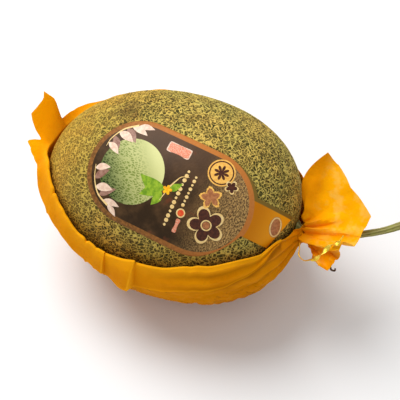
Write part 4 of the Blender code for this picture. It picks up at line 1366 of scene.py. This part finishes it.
def build_sticker_prints():
    """Plain printed ornament: a melon picture, sprigs, beads, a medal and a blossom."""
    cream = print_ink("cream_ink", (0.88, 0.66, 0.30), (0.80, 0.52, 0.18))
    gold = print_ink("gold_ink", (0.95, 0.55, 0.12), (0.80, 0.40, 0.08))
    brown = print_ink("dark_brown_ink", (0.055, 0.018, 0.012), (0.10, 0.03, 0.015))
    copper = print_ink("copper_ink", (0.50, 0.20, 0.075), (0.34, 0.12, 0.045))
    pink = print_ink("pink_ink", (0.80, 0.42, 0.28), (0.72, 0.16, 0.07), scale=1.1)
    leaf = print_ink("leaf_green_ink", (0.32, 0.48, 0.030), (0.13, 0.27, 0.014), scale=0.25)
    yellow = print_ink("yellow_ink", (1.0, 0.62, 0.02), (0.90, 0.36, 0.01))
    red = print_ink("red_ink", (0.72, 0.06, 0.02), (0.80, 0.13, 0.03))

    print_shapes("print_melon", [[oval_loop(-26.7, -0.8, 24.2, 23.6, count=90)]], 1, picture_ink())
    blush = print_sprigs(cream)

    # the leaves and the flower at the picture's edge
    leaves = [leaf_loop(1.0, -2.5, 21.0, 9.0, 172, bend=2.0),
              leaf_loop(-1.0, -4.0, 16.0, 8.0, 214, bend=-1.2),
              leaf_loop(2.0, -1.5, 12.0, 5.2, 42, bend=-0.8),
              leaf_loop(-1.0, -4.0, 12.5, 6.5, 258, bend=0.8)]
    print_shapes("print_leaves", [[loop] for loop in leaves], 3, leaf)
    strokes = [[stroke_loop([(3.0, 0.0), (5.5, 6.0), (8.0, 10.5), (13.0, 12.5)], 1.1)],
               [stroke_loop([(2.5, -3.0), (1.6, -7.0), (0.6, -10.5)], 0.9)]]
    print_shapes("print_leaf_strokes", strokes, 5, cream)
    print_shapes("print_flower", [[petal_loop(2.8, -1.8, 1.5, 3.5, 5, 20)]], 7, yellow)

    print_beads(cream)

    stamp = bar_loop(-2.2, 26.7, 17.5, 7.4, 1.3)
    print_shapes("print_stamp", [[stamp]], 2, pink)
    print_shapes("print_stamp_edge", [[grown(stamp, 0.1), bar_loop(-2.2, 26.7, 16.3, 6.2, 1.0)]], 4, blush)

    medal = (31.3, 25.2)
    print_shapes("print_medal", [[oval_loop(*medal, 9.6, 9.6)]], 2, gold)
    rings = [[oval_loop(*medal, 8.6, 8.6), oval_loop(*medal, 7.7, 7.7)], [petal_loop(*medal, 1.6, 5.4, 8)]]
    print_shapes("print_medal_rings", rings, 4, brown)

    # a large and a small blossom and a vine leaf, each with its outline
    heart = (37.5, -12.4)
    large = petal_loop(*heart, 7.0, 13.4, 5, 54)
    small = petal_loop(41.9, 19.0, 2.6, 5.0, 5, 10)
    vine = lobed_loop(32.4, 6.2, 8.4, 120)
    outlines = [[large, grown(large, -1.6)], [small, grown(small, -0.9)],
                [oval_loop(*heart, 3.8, 3.8), oval_loop(*heart, 2.9, 2.9)]]
    print_shapes("print_outlines", outlines, 5, cream)
    print_shapes("print_leaf_outline", [[vine, grown(vine, -1.3)]], 5, gold)
    print_shapes("print_blossom", [[grown(large, -0.4)], [grown(small, -0.2)]], 3, brown)
    print_shapes("print_vine_leaf", [[grown(vine, -0.3)]], 3, copper)
    print_shapes("print_blossom_heart", [[oval_loop(*heart, 2.5, 2.5)]], 5, copper)

    # below the beads, and on the tail
    print_shapes("print_red_dot", [[oval_loop(18.1, -12.3, 2.3, 2.3)]], 4, red)
    print_shapes("print_red_dot_edge", [[oval_loop(18.1, -12.3, 3.2, 3.2)]], 2, cream)
    print_shapes("print_side_bar", [[bar_loop(18.6, -21.6, 3.0, 10.0)]], 2, pink)
    on_tail = (80.2, 7.8)
    ring = [oval_loop(*on_tail, 4.0, 7.2, 10), oval_loop(*on_tail, 3.1, 6.2, 10)]
    print_shapes("print_tail_ring", [ring], 4, cream)
    print_shapes("print_tail_oval", [[oval_loop(*on_tail, 4.3, 7.5, 10)]], 2, copper)


# ================================================================ the stage
FLOOR_HALF = 6.0
# (name, place, width, share of the top light's power)
LIGHTS = [("overhead", (-0.58, 0.16, 1.22), 1.05, 1.0), ("side", (0.9, -0.9, 0.9), 0.9, 0.05)]
CAMERA_AROUND = math.radians(22.0)      # from the side that the sticker leans to
CAMERA_UP = math.radians(50.0)
CAMERA_AWAY = 0.730
CAMERA_LENS = 85.0                      # in millimetres
CAMERA_AIM = Vector((0.0170, 0.0013, 0.0767))


def build_floor(stage):
    """A plain pale floor."""
    corners = [(-FLOOR_HALF, -FLOOR_HALF, 0), (FLOOR_HALF, -FLOOR_HALF, 0),
               (FLOOR_HALF, FLOOR_HALF, 0), (-FLOOR_HALF, FLOOR_HALF, 0)]
    mesh = bpy.data.meshes.new("floor")
    mesh.from_pydata(corners, [], [(0, 1, 2, 3)])
    floor = bpy.data.objects.new("floor", mesh)
    bpy.context.scene.collection.objects.link(floor)
    mat, shader, recipe = shaded("pale_floor", 0.9)
    place = recipe.add("ShaderNodeTexCoord").outputs["Object"]
    tone = recipe.spread(recipe.cloud(place, 3.0), 0.3, 0.7)
    pale = tuple(stage.floor_colour)
    recipe.put(shader.inputs["Base Color"], recipe.blend(tone, pale, tuple(c * 0.99 for c in pale)))
    mesh.materials.append(mat)


def build_lights(stage):
    """Soft light from all round, a large light overhead and a weak one at the side."""
    world = bpy.data.worlds.new("soft light")
    bpy.context.scene.world = world
    world.use_nodes = True
    sky = world.node_tree.nodes["Background"]
    sky.inputs["Color"].default_value = (1.0, 1.0, 1.0, 1.0)
    sky.inputs["Strength"].default_value = stage.soft_light
    for name, place, width, share in LIGHTS:
        light = bpy.data.lights.new(name, "AREA")
        light.shape = "DISK"
        light.size = width
        light.energy = stage.top_light * share
        lamp = bpy.data.objects.new(name, light)
        lamp.location = place
        lamp.rotation_euler = (MIDDLE - Vector(place)).to_track_quat("-Z", "Y").to_euler()
        bpy.context.scene.collection.objects.link(lamp)


def build_camera():
    """A long lens that looks down at the melon from the sticker's side."""
    back = Vector((math.sin(CAMERA_AROUND) * math.cos(CAMERA_UP),
                   -math.cos(CAMERA_AROUND) * math.cos(CAMERA_UP), math.sin(CAMERA_UP)))
    lens = bpy.data.cameras.new("camera")
    lens.lens = CAMERA_LENS
    lens.clip_start = 0.01
    camera = bpy.data.objects.new("camera", lens)
    camera.location = CAMERA_AIM + back * CAMERA_AWAY
    camera.rotation_euler = (-back).to_track_quat("-Z", "Y").to_euler()
    bpy.context.scene.collection.objects.link(camera)
    bpy.context.scene.camera = camera
    bpy.context.scene.view_settings.view_transform = "Standard"


# ================================================================ operators

class MELON_OT_fruit(bpy.types.Operator):
    """Build the netted fruit"""
    bl_idname = "melon.fruit"
    bl_label = "Netted fruit"
    settings = "melon_rind"

    def execute(self, context):
        build_fruit(context.scene.melon_rind)
        return {"FINISHED"}


class MELON_OT_wrap(bpy.types.Operator):
    """Build the tied wrapping sheet with its hem and flared end"""
    bl_idname = "melon.wrap"
    bl_label = "Wrapping sheet"
    settings = "melon_wrap"

    def execute(self, context):
        build_wrap(context.scene.melon_wrap)
        return {"FINISHED"}


class MELON_OT_stem(bpy.types.Operator):
    """Build the cut stem and the dried tendril"""
    bl_idname = "melon.stem"
    bl_label = "Stem and tendril"
    settings = None

    def execute(self, context):
        build_stem()
        build_tendril()
        return {"FINISHED"}


class MELON_OT_tie(bpy.types.Operator):
    """Build the foil tie"""
    bl_idname = "melon.tie"
    bl_label = "Foil tie"
    settings = None

    def execute(self, context):
        build_tie()
        return {"FINISHED"}


class MELON_OT_sticker(bpy.types.Operator):
    """Build the sticker and its printed ornament"""
    bl_idname = "melon.sticker"
    bl_label = "Sticker"
    settings = "melon_sticker"

    def execute(self, context):
        build_sticker_paper(context.scene.melon_sticker)
        build_sticker_prints()
        return {"FINISHED"}


class MELON_OT_stage(bpy.types.Operator):
    """Set up the floor, the soft light and the camera"""
    bl_idname = "melon.stage"
    bl_label = "Stage"
    settings = "melon_stage"

    def execute(self, context):
        build_floor(context.scene.melon_stage)
        build_lights(context.scene.melon_stage)
        build_camera()
        return {"FINISHED"}


class MELON_PT_panel(bpy.types.Panel):
    """The melon's pieces and their sizes and colours"""
    bl_label = "Wrapped netted melon"
    bl_space_type = "VIEW_3D"
    bl_region_type = "UI"
    bl_category = "Melon"

    def draw(self, context):
        for operator in OPERATORS:
            box = self.layout.box()
            box.operator(operator.bl_idname)
            kept_as = operator.settings
            if kept_as:
                settings = getattr(context.scene, kept_as)
                for name in SETTINGS[kept_as].__annotations__:
                    box.prop(settings, name)


SETTINGS = {"melon_rind": MelonRindSettings, "melon_wrap": MelonWrapSettings,
            "melon_sticker": MelonStickerSettings, "melon_stage": MelonStageSettings}
OPERATORS = (MELON_OT_fruit, MELON_OT_wrap, MELON_OT_stem, MELON_OT_tie, MELON_OT_sticker, MELON_OT_stage)


def register():
    """Add the settings, the operators and the panel to Blender."""
    for cls in (*SETTINGS.values(), *OPERATORS, MELON_PT_panel):
        bpy.utils.register_class(cls)
    for name, settings in SETTINGS.items():
        setattr(bpy.types.Scene, name, PointerProperty(type=settings))


def unregister():
    """Take them out again."""
    for name in SETTINGS:
        delattr(bpy.types.Scene, name)
    for cls in reversed((*SETTINGS.values(), *OPERATORS, MELON_PT_panel)):
        bpy.utils.unregister_class(cls)


def main():
    """Set up the stage and build every piece."""
    register()
    bpy.ops.melon.stage()
    bpy.ops.melon.fruit()
    bpy.ops.melon.wrap()
    bpy.ops.melon.stem()
    bpy.ops.melon.tie()
    bpy.ops.melon.sticker()


if __name__ == "__main__":
    main()
